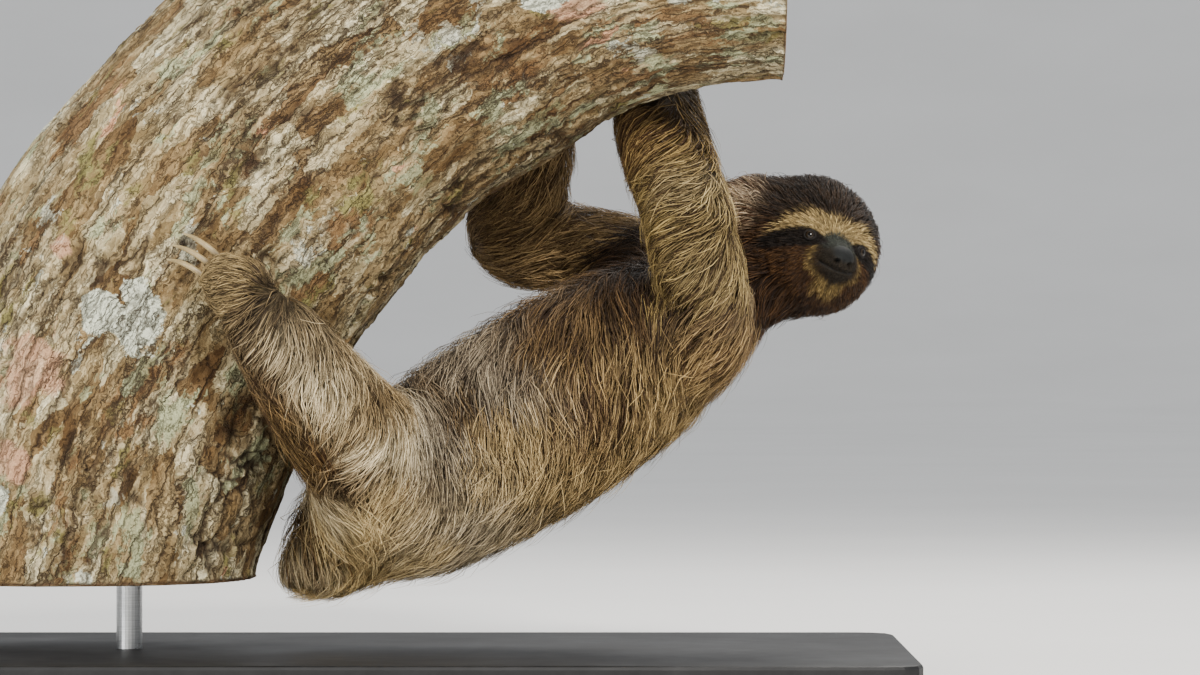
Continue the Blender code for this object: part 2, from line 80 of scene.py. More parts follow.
# The coat on each kind of node: its depth over the skin, the locks' length and half width,
# and how many locks grow on a square centimetre of skin.
COAT = {
    "trunk": (14 * MM, 50 * MM, 0.38 * MM, 20.5),
    "neck": (10 * MM, 28 * MM, 0.36 * MM, 24.0),
    "tail": (6 * MM, 24 * MM, 0.38 * MM, 26.0),
    "upper_arm": (9 * MM, 38 * MM, 0.38 * MM, 23.0),
    "forearm": (8 * MM, 36 * MM, 0.40 * MM, 18.0),
    "hand": (4 * MM, 14 * MM, 0.34 * MM, 26.0),
    "thigh": (11 * MM, 42 * MM, 0.38 * MM, 24.0),
    "shank": (8 * MM, 34 * MM, 0.36 * MM, 25.0),
    "foot": (4 * MM, 15 * MM, 0.30 * MM, 40.0),
    "head": (6 * MM, 16 * MM, 0.36 * MM, 30.0),
}

# The face, in the head's frame.
FACE_LIFT = math.radians(8)  # the face looks this much above the line from head's middle to eyes
EYE_DROP = 5.5 * MM  # the eyes sit below the head's middle
EYE_OUT = 38.5 * MM  # and in front of it
GAZE = Vector((0.46, -0.04, 0.89))  # of the eye at +l
EYE_OPEN_WIDE = math.radians(41)  # half of the opening between the lids, as the eye's turn
EYE_OPEN_TALL = math.radians(31)
NOSE = np.array((0.0, -20.0, 64.0)) * MM
NOSTRIL = np.array((5.4, -26.0, 61.5)) * MM
MOUTH_HALF = 15.5 * MM  # from the mouth's middle to its corner
MOUTH_LOW = -31.6 * MM  # the middle's height
MOUTH_RISE = 5.8 * MM  # and how much higher the corners are


# ---- Small tools -----------------------------------------------------------------------


def kind_of(node):
    """The row of COAT that a node's name belongs to."""
    return node.removesuffix("_near").removesuffix("_far")


FLESH = sorted(name for name in NODES if kind_of(name) in COAT)


def linear(red, green, blue):
    """An sRGB colour of 0 to 255 as a linear one of 0 to 1."""
    share = np.array((red, green, blue)) / 255.0
    return np.where(share <= 0.04045, share / 12.92, ((share + 0.055) / 1.055) ** 2.4)


def unit(vectors):
    """Rows of an array, each made one long."""
    return vectors / np.maximum(np.linalg.norm(vectors, axis=-1, keepdims=True), 1e-9)


def ease(values, start, end):
    """0 before start and 1 after end, with a smooth rise between them."""
    share = np.clip((values - start) / (end - start), 0.0, 1.0)
    return share * share * (3.0 - 2.0 * share)


def fall(values, start, end):
    """1 before start and 0 after end."""
    return 1.0 - ease(values, start, end)


def ease_mm(values, start, end):
    """The rise with its ends in millimetres."""
    return ease(values, start * MM, end * MM)


def fall_mm(values, start, end):
    """The fall with its ends in millimetres."""
    return 1.0 - ease_mm(values, start, end)


def bell(values, width, power=2):
    """1 at zero, and falling away on both sides over about that width."""
    return np.exp(-((values / width) ** power))


def spot(across, over, wide, tall):
    """1 at a place, and falling away from it in both directions."""
    return np.exp(-((across / wide) ** 2) - ((over / tall) ** 2))


def mix(low, high, share):
    """Between two arrays of rows by a share for each row."""
    share = np.asarray(share)[..., None]
    return low * (1.0 - share) + high * share


def hashed(cells, seed):
    """A repeatable random number from 0 to 1 for each whole-number cell."""
    n = cells.astype(np.int64)
    n = (n[..., 0] * 73856093) ^ (n[..., 1] * 19349663) ^ (n[..., 2] * 83492791) ^ (seed * 26544357)
    n = ((n ^ (n >> 13)) * 1274126177) & 0xFFFFFFFF
    n = ((n ^ (n >> 15)) * 668265263) & 0xFFFFFFFF
    return ((n ^ (n >> 16)) & 0xFFFFFF) / float(0xFFFFFF)


CORNERS = [np.array((i & 1, (i >> 1) & 1, (i >> 2) & 1)) for i in range(8)]


def clouds(points, size, seed, layers=2):
    """Smooth random patches of about that size, from -1 to 1."""
    total = np.zeros(len(points))
    weight = 1.0
    for layer in range(layers):
        place = points / (size * 0.5**layer) + 17.3 * layer
        cell = np.floor(place)
        share = place - cell
        share = share * share * (3.0 - 2.0 * share)
        for corner in CORNERS:
            near = np.prod(np.where(corner, share, 1.0 - share), axis=1)
            total += weight * near * (hashed(cell + corner, seed + layer) * 2.0 - 1.0)
        weight *= 0.5
    return total / (2.0 - 2.0 * weight)


def plates(points, size, seed):
    """For each point, the random number of its cell and how far it is from the cell's edge."""
    place = points / size
    cell = np.floor(place)
    first = np.full(len(points), 9.0)
    second = np.full(len(points), 9.0)
    own = np.zeros(len(points))
    for i in range(27):
        step = np.array((i % 3 - 1, i // 3 % 3 - 1, i // 9 - 1))
        home = cell + step
        seeded = np.stack([hashed(home, seed + axis) for axis in range(3)], axis=1)
        away = np.linalg.norm(home + seeded - place, axis=1)
        closer = away < first
        second = np.where(closer, first, np.minimum(second, away))
        own = np.where(closer, hashed(home, seed + 7), own)
        first = np.where(closer, away, first)
    return own, second - first


def read(items, key, width, kind=np.float32):
    """One property of every item, as rows of an array."""
    values = np.empty(len(items) * width, kind)
    items.foreach_get(key, values)
    return values.reshape(-1, width)


def points_of(mesh):
    """A mesh's vertex places as an array."""
    return read(mesh.vertices, "co", 3).astype(float)


def place_points(mesh, places):
    """Moves a mesh's vertices."""
    mesh.vertices.foreach_set("co", places.astype(np.float32).ravel())
    mesh.update()


def normals_of(mesh):
    """A mesh's vertex normals as an array."""
    return read(mesh.vertex_normals, "vector", 3).astype(float)


def edges_of(mesh):
    """The two vertices of every edge."""
    return read(mesh.edges, "vertices", 2, np.int32)


def spread(values, edges, rounds, share=0.5):
    """Smooths values over a mesh: each moves part of the way to its neighbours' mean."""
    values = np.array(values, float)
    flat = values.reshape(len(values), -1)
    count = len(flat)
    degree = np.maximum(np.bincount(edges.ravel(), minlength=count), 1)[:, None]
    for _ in range(rounds):
        total = np.empty_like(flat)
        for axis in range(flat.shape[1]):
            total[:, axis] = np.bincount(edges[:, 0], flat[edges[:, 1], axis], count)
            total[:, axis] += np.bincount(edges[:, 1], flat[edges[:, 0], axis], count)
        flat += (total / degree - flat) * share
    return flat.reshape(values.shape)


def paint(mesh, **layers):
    """Writes attributes: a number for each vertex, a place if it is the grain, or a colour."""
    for name, values in layers.items():
        kind, key = "FLOAT_COLOR", "color"
        if values.ndim == 1:
            kind, key = "FLOAT", "value"
        elif name == "grain":
            kind, key = "FLOAT_VECTOR", "vector"
        else:
            values = np.column_stack((values, np.ones(len(values))))
        layer = mesh.attributes.new(name, kind, "POINT")
        layer.data.foreach_set(key, values.astype(np.float32).ravel())


def placed(name, data):
    """A new object in the scene."""
    made = bpy.data.objects.new(name, data)
    bpy.context.scene.collection.objects.link(made)
    return made


def mesh_of(bm, name):
    """The edited mesh as a new one."""
    mesh = bpy.data.meshes.new(name)
    bm.to_mesh(mesh)
    bm.free()
    return mesh


def modified(mesh, kind, **settings):
    """The mesh after one modifier."""
    holder = placed("holder", mesh)
    change = holder.modifiers.new("change", kind)
    for setting, value in settings.items():
        setattr(change, setting, value)
    depsgraph = bpy.context.evaluated_depsgraph_get()
    result = bpy.data.meshes.new_from_object(holder.evaluated_get(depsgraph))
    bpy.data.objects.remove(holder)
    return result


def surface_tree(mesh):
    """A search tree of a mesh's surface, and its faces."""
    faces = [tuple(face.vertices) for face in mesh.polygons]
    return BVHTree.FromPolygons([v.co for v in mesh.vertices], faces), faces


def show(mesh, name, material):
    """A smooth-shaded piece in the scene that rides with the model."""
    piece = placed(name, mesh)
    mesh.polygons.foreach_set("use_smooth", np.ones(len(mesh.polygons), bool))
    mesh.materials.clear()
    mesh.materials.append(material)
    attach(piece, "root")
    return piece


def joined(names, name):
    """One mesh made of copies of several nodes."""
    bm = bmesh.new()
    for node in names:
        bm.from_mesh(NODES[node].data)
    mesh = mesh_of(bm, name)
    mesh.materials.clear()
    return mesh


def remeshed(mesh, grain, puff):
    """The mesh swollen a little and rebuilt as one even grid of faces, largest piece only."""
    place_points(mesh, points_of(mesh) + normals_of(mesh) * puff)
    result = modified(mesh, "REMESH", mode="VOXEL", voxel_size=grain)
    ends = edges_of(result)
    group = np.arange(len(result.vertices))
    before = None
    while not np.array_equal(before, group):
        before = group.copy()
        low = np.minimum(group[ends[:, 0]], group[ends[:, 1]])
        np.minimum.at(group, ends[:, 0], low)
        np.minimum.at(group, ends[:, 1], low)
        group = group[group]
    apart = np.flatnonzero(group != np.bincount(group).argmax())
    if len(apart):
        bm = bmesh.new()
        bm.from_mesh(result)
        bm.verts.ensure_lookup_table()
        bmesh.ops.delete(bm, geom=[bm.verts[int(i)] for i in apart], context="VERTS")
        bm.to_mesh(result)
        bm.free()
    return result


# ---- Materials -------------------------------------------------------------------------


class Look:
    """Builds one procedural material, node by node."""

    def __init__(self, name, **values):
        self.material = bpy.data.materials.new(name)
        self.material.use_nodes = True
        self.tree = self.material.node_tree
        self.surface = self.tree.nodes["Principled BSDF"]
        for socket, value in values.items():
            self.surface.inputs[socket.replace("_", " ")].default_value = value

    def node(self, kind, settings=None, **inputs):
        """A node with its settings, and its inputs as numbers or other nodes' outputs."""
        made = self.tree.nodes.new("ShaderNode" + kind)
        for key, value in (settings or {}).items():
            setattr(made, key, value)
        for key, value in inputs.items():
            socket = made.inputs[int(key[1:])] if key[0] == "i" and key[1:].isdigit() else made.inputs[key]
            if isinstance(value, bpy.types.NodeSocket):
                self.tree.links.new(value, socket)
            else:
                socket.default_value = value
        return made

    def attribute(self, name, output="Color"):
        """What paint() wrote."""
        return self.node("Attribute", {"attribute_name": name}).outputs[output]

    def noise(self, vector, scale, detail=3.0, rough=0.55):
        """Cloudy noise."""
        made = self.node("TexNoise", None, Vector=vector, Scale=scale, Detail=detail, Roughness=rough)
        return made.outputs["Fac"]

    def stretched(self, vector, scale):
        """A vector scaled along each axis."""
        return self.node("Mapping", None, Vector=vector, Scale=scale).outputs["Vector"]

    def ramp(self, factor, *stops):
        """A colour ramp of (place, colour) stops, where a plain number is a grey."""
        made = self.node("ValToRGB", None, Fac=factor)
        elements = made.color_ramp.elements
        while len(elements) < len(stops):
            elements.new(0.5)
        for element, (place, colour) in zip(elements, stops):
            element.position = place
            element.color = (*np.broadcast_to(colour, 3), 1.0)
        return made.outputs["Color"]

    def blend(self, factor, low, high, mode="MIX"):
        """Two colours mixed."""
        made = self.node("Mix", {"data_type": "RGBA", "blend_type": mode}, i0=factor)
        for socket, value in ((made.inputs[6], low), (made.inputs[7], high)):
            if isinstance(value, bpy.types.NodeSocket):
                self.tree.links.new(value, socket)
            else:
                socket.default_value = (*value, 1.0)
        return made.outputs[2]

    def dyed(self, colour, factor, *stops, share=1.0):
        """The colour multiplied by a ramp."""
        return self.blend(share, colour, self.ramp(factor, *stops), "MULTIPLY")

    def sums(self, operation, first, second=0.0):
        """One step of arithmetic."""
        return self.node("Math", {"operation": operation}, i0=first, i1=second).outputs[0]

    def plus(self, first, second):
        """Their sum."""
        return self.sums("ADD", first, second)

    def minus(self, first, second):
        """Their difference."""
        return self.sums("SUBTRACT", first, second)

    def times(self, first, second):
        """Their product."""
        return self.sums("MULTIPLY", first, second)

    def most(self, first, second):
        """The larger of them."""
        return self.sums("MAXIMUM", first, second)

    def range(self, value, low, high, to_low=0.0, to_high=1.0):
        """A number moved from one range to another."""
        made = self.node("MapRange", None, Value=value)
        for socket, number in zip(made.inputs[1:5], (low, high, to_low, to_high)):
            socket.default_value = number
        return made.outputs["Result"]

    def bump(self, height, depth, strength=1.0, normal=None):
        """Relief of that depth in metres."""
        made = self.node("Bump", None, Height=height, Distance=depth, Strength=strength)
        if normal:
            self.tree.links.new(normal, made.inputs["Normal"])
        return made.outputs["Normal"]

    def wear(self, **sockets):
        """Links outputs to the surface's sockets."""
        for name, output in sockets.items():
            self.tree.links.new(output, self.surface.inputs[name.replace("_", " ")])
        return self.material

    def here(self):
        """The place on the object, in metres."""
        return self.node("TexCoord").outputs["Object"]

    def pushed(self, vector, scale, reach):
        """The vector pushed about by noise, so that edges run ragged."""
        push = self.node("TexNoise", None, Vector=vector, Scale=scale, Detail=3.0).outputs["Color"]
        centred = self.node("VectorMath", {"operation": "SUBTRACT"}, i0=push, i1=(0.5, 0.5, 0.5))
        scaled = self.node("VectorMath", {"operation": "SCALE"}, i0=centred.outputs[0], Scale=reach)
        return self.node("VectorMath", None, i0=vector, i1=scaled.outputs[0]).outputs[0]

    def lines(self, vector, scale, width):
        """Thin wandering lines where a stretched noise passes its middle."""
        gap = self.sums("ABSOLUTE", self.minus(self.noise(vector, scale, 3.0, 0.5), 0.5))
        return self.range(gap, 0.0, width, 1.0, 0.0)

    def edges(self, vector, scale):
        """How far a place is from the edge of its cell."""
        cells = self.node("TexVoronoi", {"feature": "DISTANCE_TO_EDGE"}, Vector=vector, Scale=scale)
        return cells.outputs[0]

    def flakes(self, vector, scale):
        """A random number for each flake, and how far it is from the flake's edge."""
        cells = self.node("TexVoronoi", {"feature": "F1"}, Vector=vector, Scale=scale)
        number = self.node("SeparateColor", None, Color=cells.outputs["Color"]).outputs[0]
        return number, self.edges(vector, scale)


def coat_look():
    """Hair: its painted colour, streaked and flecked, with a soft shine."""
    look = Look("coat", Specular_IOR_Level=0.22)
    here = look.here()
    fleck = look.noise(here, 900.0, 2.0)
    colour = look.dyed(look.attribute("tone"), fleck, (0.25, 0.62), (0.8, 1.25))
    patch = look.noise(here, 55.0, 3.0)
    colour = look.dyed(colour, patch, (0.3, (0.90, 0.86, 0.80)), (0.7, (1.08, 1.05, 1.0)))
    rough = look.range(fleck, 0.2, 0.8, 0.5, 0.78)
    return look.wear(Base_Color=colour, Roughness=rough, Normal=look.bump(fleck, 0.2 * MM, 0.5))


def skin_look():
    """Skin: furred where the painted coat grows, and leathery on the nose, lips and lids."""
    look = Look("skin", Specular_IOR_Level=0.2)
    here = look.here()
    bare = look.attribute("bare", "Fac")
    tone = look.attribute("tone")
    fibre = look.noise(here, 700.0, 3.0, 0.7)
    creases = look.noise(here, 240.0, 4.0, 0.6)
    furred = look.dyed(tone, fibre, (0.3, 0.55), (0.75, 1.3))
    leather = look.dyed(tone, creases, (0.35, 0.72), (0.7, 1.2))
    rough = look.range(bare, 0.0, 1.0, 0.85, 0.74)
    fuzz = look.bump(fibre, 0.5 * MM, 0.8)
    pores = look.range(look.edges(here, 1300.0), 0.0, 0.25)
    grained = look.bump(pores, 0.12 * MM, 0.6, look.bump(creases, 0.25 * MM, 0.5))
    normal = look.node("Mix", {"data_type": "VECTOR"}, i0=bare, i4=fuzz, i5=grained)
    colour = look.blend(bare, furred, leather)
    return look.wear(Base_Color=colour, Roughness=rough, Normal=normal.outputs[1])


def eye_look():
    """A dark wet eye: black pupil, brown iris with spokes, and a darker rim."""
    look = Look("eye", Roughness=0.06, Specular_IOR_Level=0.22)
    turn = look.attribute("from_pupil", "Fac")
    spokes = look.noise(look.here(), 2600.0, 2.0)
    turned = look.plus(turn, look.range(spokes, 0.0, 1.0, -0.05, 0.05))
    colour = look.ramp(
        turned,
        (0.24, linear(4, 3, 3)),
        (0.32, linear(29, 22, 15)),
        (0.48, linear(41, 33, 23)),
        (0.58, linear(12, 8, 6)),
        (0.75, linear(14, 10, 8)),
    )
    return look.wear(Base_Color=colour)


def claw_look():
    """Horn: ivory above, browner below and at the root, with fine lengthwise streaks."""
    look = Look("claw_horn", Specular_IOR_Level=0.45, Coat_Weight=0.15)
    grain = look.attribute("grain", "Vector")
    streak = look.noise(look.stretched(grain, (900.0, 900.0, 45.0)), 1.0, 3.0)
    bands = look.noise(look.stretched(grain, (60.0, 60.0, 420.0)), 1.0, 2.0)
    colour = look.dyed(look.attribute("tone"), streak, (0.3, 0.7), (0.75, 1.18))
    colour = look.dyed(colour, bands, (0.35, (0.72, 0.62, 0.5)), (0.65, 1.05), share=0.5)
    rough = look.range(streak, 0.2, 0.8, 0.32, 0.55)
    return look.wear(Base_Color=colour, Roughness=rough, Normal=look.bump(streak, 0.25 * MM, 0.7))


def sawn_wood(look, grain, fibres):
    """A sawn end: growth rings, a darker heart, radial checks and a rind. Its colour and relief."""
    out = look.attribute("rings", "Fac")
    here = look.here()
    age = look.plus(out, look.times(look.noise(here, 24.0, 3.0), 0.014))
    years, seasons = (look.sums("SINE", look.times(age, beat)) for beat in (700.0, 1930.0))
    rings = look.plus(look.times(years, 0.7), look.times(seasons, 0.3))
    wood = look.ramp(
        look.plus(look.range(rings, -1.0, 1.0, 0.0, 0.55), look.times(fibres, 0.45)),
        (0.18, linear(124, 94, 62)),
        (0.52, linear(176, 145, 104)),
        (0.88, linear(204, 179, 138)),
    )
    wood = look.dyed(wood, out, (0.012, 0.58), (0.085, 1.0))
    wood = look.dyed(wood, look.noise(here, 11.0, 4.0), (0.35, 0.70), (0.6, 1.0), share=0.7)
    checks = look.times(look.lines(look.stretched(grain, (1.0, 1.0, 0.0)), 42.0, 0.014), 0.85)
    checks = look.times(checks, look.range(out, 0.010, 0.040))
    wood = look.blend(checks, wood, linear(64, 46, 31))
    wood = look.blend(look.attribute("rind", "Fac"), wood, linear(74, 54, 37))
    return wood, look.minus(look.range(rings, -1.0, 1.0, 0.30, 0.42), look.times(checks, 0.5))


# Growths and stains on the bark: colour, how long they run, scale, and where their noise starts
# and fills.
BARK_PATCHES = (
    (linear(134, 104, 68), 0.40, 23.0, 0.57, 0.63),
    (linear(138, 130, 78), 0.61, 28.0, 0.59, 0.65),
    (linear(176, 178, 138), 0.52, 34.0, 0.57, 0.61),
    (linear(214, 162, 124), 0.53, 15.0, 0.635, 0.655),
    (linear(214, 214, 190), 0.71, 27.0, 0.625, 0.645),
)


def bark_cracks(look, along, gaps):
    """Long dark cracks of three sizes, the middle ones broken by gaps."""
    cracks = look.times(look.lines(along(0.16), 72.0, 0.026), gaps)
    cracks = look.most(look.lines(along(0.11), 30.0, 0.018), cracks)
    return look.most(cracks, look.times(look.lines(along(0.25), 170.0, 0.034), 0.6))


def bark_growths(look, base, along, grit):
    """The bark's colour with growths and stains scattered over it, and drifts of rust."""
    for colour, run, scale, low, high in BARK_PATCHES:
        field = look.noise(along(run), scale, 6.0, 0.65)
        speck = look.dyed(colour, grit, (0.34, 0.70), (0.66, 1.14))
        base = look.blend(look.range(field, low, high), base, speck)
    drift = look.noise(along(0.35), 30.0, 5.0, 0.65)
    return look.dyed(base, drift, (0.38, (0.42, 0.33, 0.24)), (0.55, 1.0), share=0.85)


def bark_marks(look, base, ragged, grit):
    """The lichens and pink stains that are painted at their own places."""
    crust = look.dyed(linear(210, 213, 190), grit, (0.36, 0.66), (0.46, 1.0))
    pink = look.dyed(linear(204, 154, 122), grit, (0.30, 0.70), (0.6, 1.1))
    fray = look.range(look.noise(ragged, 120.0, 4.0, 0.7), 0.3, 0.7, -0.12, 0.12)
    blush, growth = (look.plus(look.attribute(name, "Fac"), fray) for name in ("blush", "growth"))
    base = look.blend(look.range(blush, 0.46, 0.62, 0.0, 0.68), base, pink)
    return look.blend(look.range(growth, 0.47, 0.52), base, crust)


def bark_look():
    """Bark: flaking plates under long dark cracks, with patches of lichen, moss and rust."""
    look = Look("bark", Specular_IOR_Level=0.2)
    grain = look.attribute("grain", "Vector")
    ragged = look.pushed(look.pushed(grain, 60.0, 0.011), 320.0, 0.005)

    def along(share):
        """The ragged bark squeezed lengthwise, so that its marks run long."""
        return look.stretched(ragged, (1.0, 1.0, share))

    long = along(0.36)
    big, big_edge = look.flakes(long, 52.0)
    small, small_edge = look.flakes(long, 135.0)
    chips, chip_edge = look.flakes(along(0.5), 300.0)
    fibres = look.noise(look.stretched(ragged, (420.0, 420.0, 60.0)), 1.0, 5.0, 0.65)
    grit = look.noise(grain, 640.0, 4.0, 0.75)
    wide = look.noise(long, 13.0, 4.0, 0.6)
    gaps = look.range(look.noise(long, 26.0, 2.0), 0.42, 0.56)
    cracks = bark_cracks(look, along, gaps)
    age = look.plus(look.times(big, 0.45), look.times(wide, 0.75))
    age = look.plus(age, look.times(look.attribute("plate", "Fac"), 0.12))
    base = look.ramp(
        age,
        (0.36, linear(112, 89, 60)),
        (0.50, linear(147, 126, 91)),
        (0.64, linear(178, 162, 126)),
        (0.82, linear(212, 204, 172)),
    )
    base = look.dyed(base, small, (0.0, (0.66, 0.60, 0.50)), (1.0, (1.22, 1.20, 1.16)))
    base = look.dyed(base, chips, (0.0, (0.62, 0.57, 0.50)), (1.0, (1.22, 1.22, 1.20)))
    base = look.dyed(base, fibres, (0.34, 0.58), (0.66, 1.2), share=0.7)
    base = bark_growths(look, base, along, grit)
    base = bark_marks(look, base, ragged, grit)
    base = look.dyed(base, grit, (0.34, 0.62), (0.48, 1.0), share=0.8)
    shadow = look.range(big_edge, 0.0, 0.035, 0.75, 0.0)
    for edge, width, strength in ((small_edge, 0.05, 0.5), (chip_edge, 0.06, 0.3)):
        shadow = look.most(shadow, look.range(edge, 0.0, width, strength, 0.0))
    base = look.blend(look.times(shadow, gaps), base, linear(62, 45, 30))
    base = look.blend(look.times(cracks, 0.9), base, linear(46, 32, 21))
    base = look.blend(look.attribute("crack", "Fac"), base, linear(46, 33, 22))
    wood, cut = sawn_wood(look, grain, fibres)
    sawn = look.attribute("sawn", "Fac")
    colour = look.blend(sawn, base, wood)
    relief = look.plus(look.times(fibres, 0.5), look.times(grit, 0.45))
    relief = look.plus(relief, look.times(look.plus(big, small), 0.55))
    relief = look.minus(relief, look.times(cracks, 1.4))
    relief = look.blend(sawn, relief, cut)
    rough = look.range(grit, 0.2, 0.8, 0.72, 0.95)
    return look.wear(Base_Color=colour, Roughness=rough, Normal=look.bump(relief, 2.0 * MM, 0.9))


def board_look():
    """The base board: satin black paint with faint roller texture, dust and rubbed patches."""
    look = Look("base_board", Specular_IOR_Level=0.3)
    here = look.here()
    peel = look.noise(here, 520.0, 3.0, 0.6)
    dust = look.noise(here, 34.0, 5.0, 0.65)
    colour = look.ramp(
        dust,
        (0.35, linear(17, 17, 18)),
        (0.62, linear(27, 27, 28)),
        (0.80, linear(40, 39, 38)),
    )
    rough = look.range(look.noise(here, 9.0, 4.0, 0.6), 0.3, 0.7, 0.48, 0.62)
    return look.wear(Base_Color=colour, Roughness=rough, Normal=look.bump(peel, 0.05 * MM, 0.5))


def steel_look():
    """The rods: brushed steel, its brush marks round the rod."""
    look = Look("rod_steel", Metallic=1.0)
    here = look.here()
    brush = look.noise(look.stretched(here, (60.0, 60.0, 4200.0)), 1.0, 3.0)
    smudge = look.noise(here, 60.0, 3.0)
    colour = look.ramp(brush, (0.3, linear(150, 152, 154)), (0.7, linear(196, 197, 198)))
    rough = look.range(smudge, 0.3, 0.7, 0.24, 0.42)
    return look.wear(Base_Color=colour, Roughness=rough, Normal=look.bump(brush, 0.04 * MM, 0.4))


# ---- The head's frame ------------------------------------------------------------------


def middle_of(node):
    """The middle of a node's box."""
    low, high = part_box(node)
    return (low + high) / 2


def head_frame():
    """The head's middle, and its axes as the columns of a matrix."""
    left, right = middle_of("eye_left"), middle_of("eye_right")
    side = (left - right).normalized()
    between = (left + right) / 2
    ahead = between - middle_of("head")
    ahead = (ahead - ahead.dot(side) * side).normalized()
    above = ahead.cross(side)
    turned = ahead * math.cos(FACE_LIFT) + above * math.sin(FACE_LIFT)
    above = turned.cross(side)
    origin = between + above * EYE_DROP - turned * EYE_OUT
    half = (left - right).length / 2
    return np.array(origin), np.array((side, above, turned)).T, half


HEAD_MIDDLE, HEAD_AXES, EYE_HALF = head_frame()


def to_head(points):
    """World places in the head's frame."""
    return (points - HEAD_MIDDLE) @ HEAD_AXES


def from_head(points):
    """Head-frame places in the world."""
    return points @ HEAD_AXES.T + HEAD_MIDDLE


def head_parts(local):
    """How far places are to either side of the face's middle, up it and out of it."""
    return np.abs(local[:, 0]), local[:, 1], local[:, 2]


def from_nose(local):
    """How far places in the head's frame are from the nose."""
    return np.linalg.norm(local - NOSE, axis=1)


def on_nodes(labels, *nodes):
    """Which points belong to these nodes."""
    return np.isin(labels, [FLESH.index(node) for node in nodes])


def curve(xs, table):
    """Reads a table of two rows in millimetres, in metres."""
    return np.interp(xs / MM, *table) * MM


def box_place(node, across, up):
    """The x and z of a place given as shares of a node's box."""
    low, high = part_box(node)
    return low.x + (high.x - low.x) * across, low.z + (high.z - low.z) * up


# ---- Markings --------------------------------------------------------------------------

# Each region's darkest and palest hairs, and the share of pale ones. A row without a side is for
# both sides, or for the far one where the near one has its own.
FAR_ARM = (linear(74, 57, 38), linear(178, 150, 106), 0.42)
HAIRS = {
    "trunk": (linear(60, 43, 27), linear(200, 173, 120), 0.45),
    "neck": (linear(72, 43, 30), linear(184, 138, 104), 0.38),
    # The tail's hairs are paler partly as painted light, like the rump's.
    "tail": (linear(150, 118, 78), linear(248, 226, 176), 0.66),
    "upper_arm_near": (linear(52, 36, 20), linear(170, 147, 92), 0.36),
    "forearm_near": (linear(43, 31, 18), linear(146, 124, 81), 0.31),
    "hand_near": (linear(64, 50, 35), linear(156, 134, 100), 0.42),
    "upper_arm": FAR_ARM,
    "forearm": FAR_ARM,
    "hand": FAR_ARM,
    "thigh": (linear(48, 33, 19), linear(161, 133, 86), 0.28),
    "shank": (linear(44, 33, 22), linear(150, 129, 93), 0.27),
    "foot": (linear(70, 56, 37), linear(180, 157, 112), 0.45),
}
# The belly's darker hairs, partly painted shade where the belly faces up under the bough.
BELLY_AND_SHADE = (linear(44, 31, 20), linear(124, 98, 64), 0.34)
RUSSET = (linear(78, 48, 28), linear(172, 128, 82))
# The straw tinge of the pale places is partly painted sunlight.
STRAW_AND_SUN = (linear(96, 80, 56), linear(240, 226, 190))
TINGE = 1.5  # how strongly a place takes russet or straw for its gain
SILVER = (linear(84, 74, 64), linear(204, 194, 172))
# The armpit's darker hairs, partly painted shade under the bough and between the arm and the trunk.
ARMPIT_AND_SHADE = (linear(28, 19, 12), linear(76, 54, 34), 0.28)
# The rump's warmer hairs, paler partly as painted light where the lamps leave it in shade.
RUMP_AND_LIGHT = (linear(148, 114, 70), linear(248, 220, 156), 0.71)

# Places with more pale hairs, tinged with straw, or with fewer and a russet tinge: node, shares
# of its box along x and z, reach in metres, and the gain in the share of pale hairs. The pale places are
# partly painted sunlight.
PALE_AND_SUNLIT_PLACES = [
    ("shank_near", 0.62, 0.50, 0.016, 0.36),
    ("shank_near", 0.86, 0.20, 0.019, 0.64),
    ("thigh_near", 0.56, 0.58, 0.013, 0.30),
    ("thigh_near", 0.83, 0.42, 0.020, 0.74),
    ("thigh_near", 0.50, 0.14, 0.016, 0.35),
    ("thigh_near", 0.44, 0.40, 0.019, -0.20),
    ("thigh_near", 0.70, 0.22, 0.017, -0.18),
    ("thigh_near", 0.22, 0.72, 0.017, -0.16),
    ("shank_near", 0.34, 0.30, 0.020, -0.10),
    ("trunk", 0.93, 0.75, 0.030, -0.16),
    ("trunk", 0.62, 0.60, 0.030, -0.20),
    ("trunk", 0.45, 0.42, 0.050, 0.12),
    ("trunk", 0.36, 0.22, 0.050, 0.16),
    ("trunk", 0.20, 0.30, 0.030, 0.20),
    ("upper_arm_near", 0.78, 0.20, 0.030, 0.10),
    ("upper_arm_near", 0.62, 0.62, 0.018, 0.18),
    ("upper_arm_near", 0.30, 0.88, 0.028, -0.20),
]

CROWN_HAIR = (linear(22, 16, 11), linear(66, 50, 35))
BACK_HAIR = (linear(62, 43, 28), linear(166, 132, 92))
# The nape's reddish hair, with its palest nearly white as painted sunlight.
NAPE_HAIR_AND_SUN = (linear(112, 76, 50), linear(255, 232, 198))
CHEEK_HAIR = (linear(42, 27, 16), linear(93, 65, 38))
THROAT_HAIR = (linear(36, 25, 17), linear(84, 60, 38))
BROW_HAIR = (linear(92, 72, 44), linear(214, 190, 134))
RIM_HAIR = (linear(106, 87, 50), linear(208, 182, 116))
STRIPE_HAIR = (linear(18, 13, 10), linear(36, 27, 20))
MUZZLE_HAIR = (linear(24, 19, 14), linear(54, 46, 34))
# The bridge's paler bluish-grey hair is partly a painted sheen on the top of the muzzle.
BRIDGE_HAIR_AND_SHEEN = (linear(32, 35, 33), linear(74, 79, 70))
NOSE_SKIN = linear(19, 21, 21)
LID_SKIN = linear(21, 17, 14)
LIP_SKIN = linear(22, 19, 17)

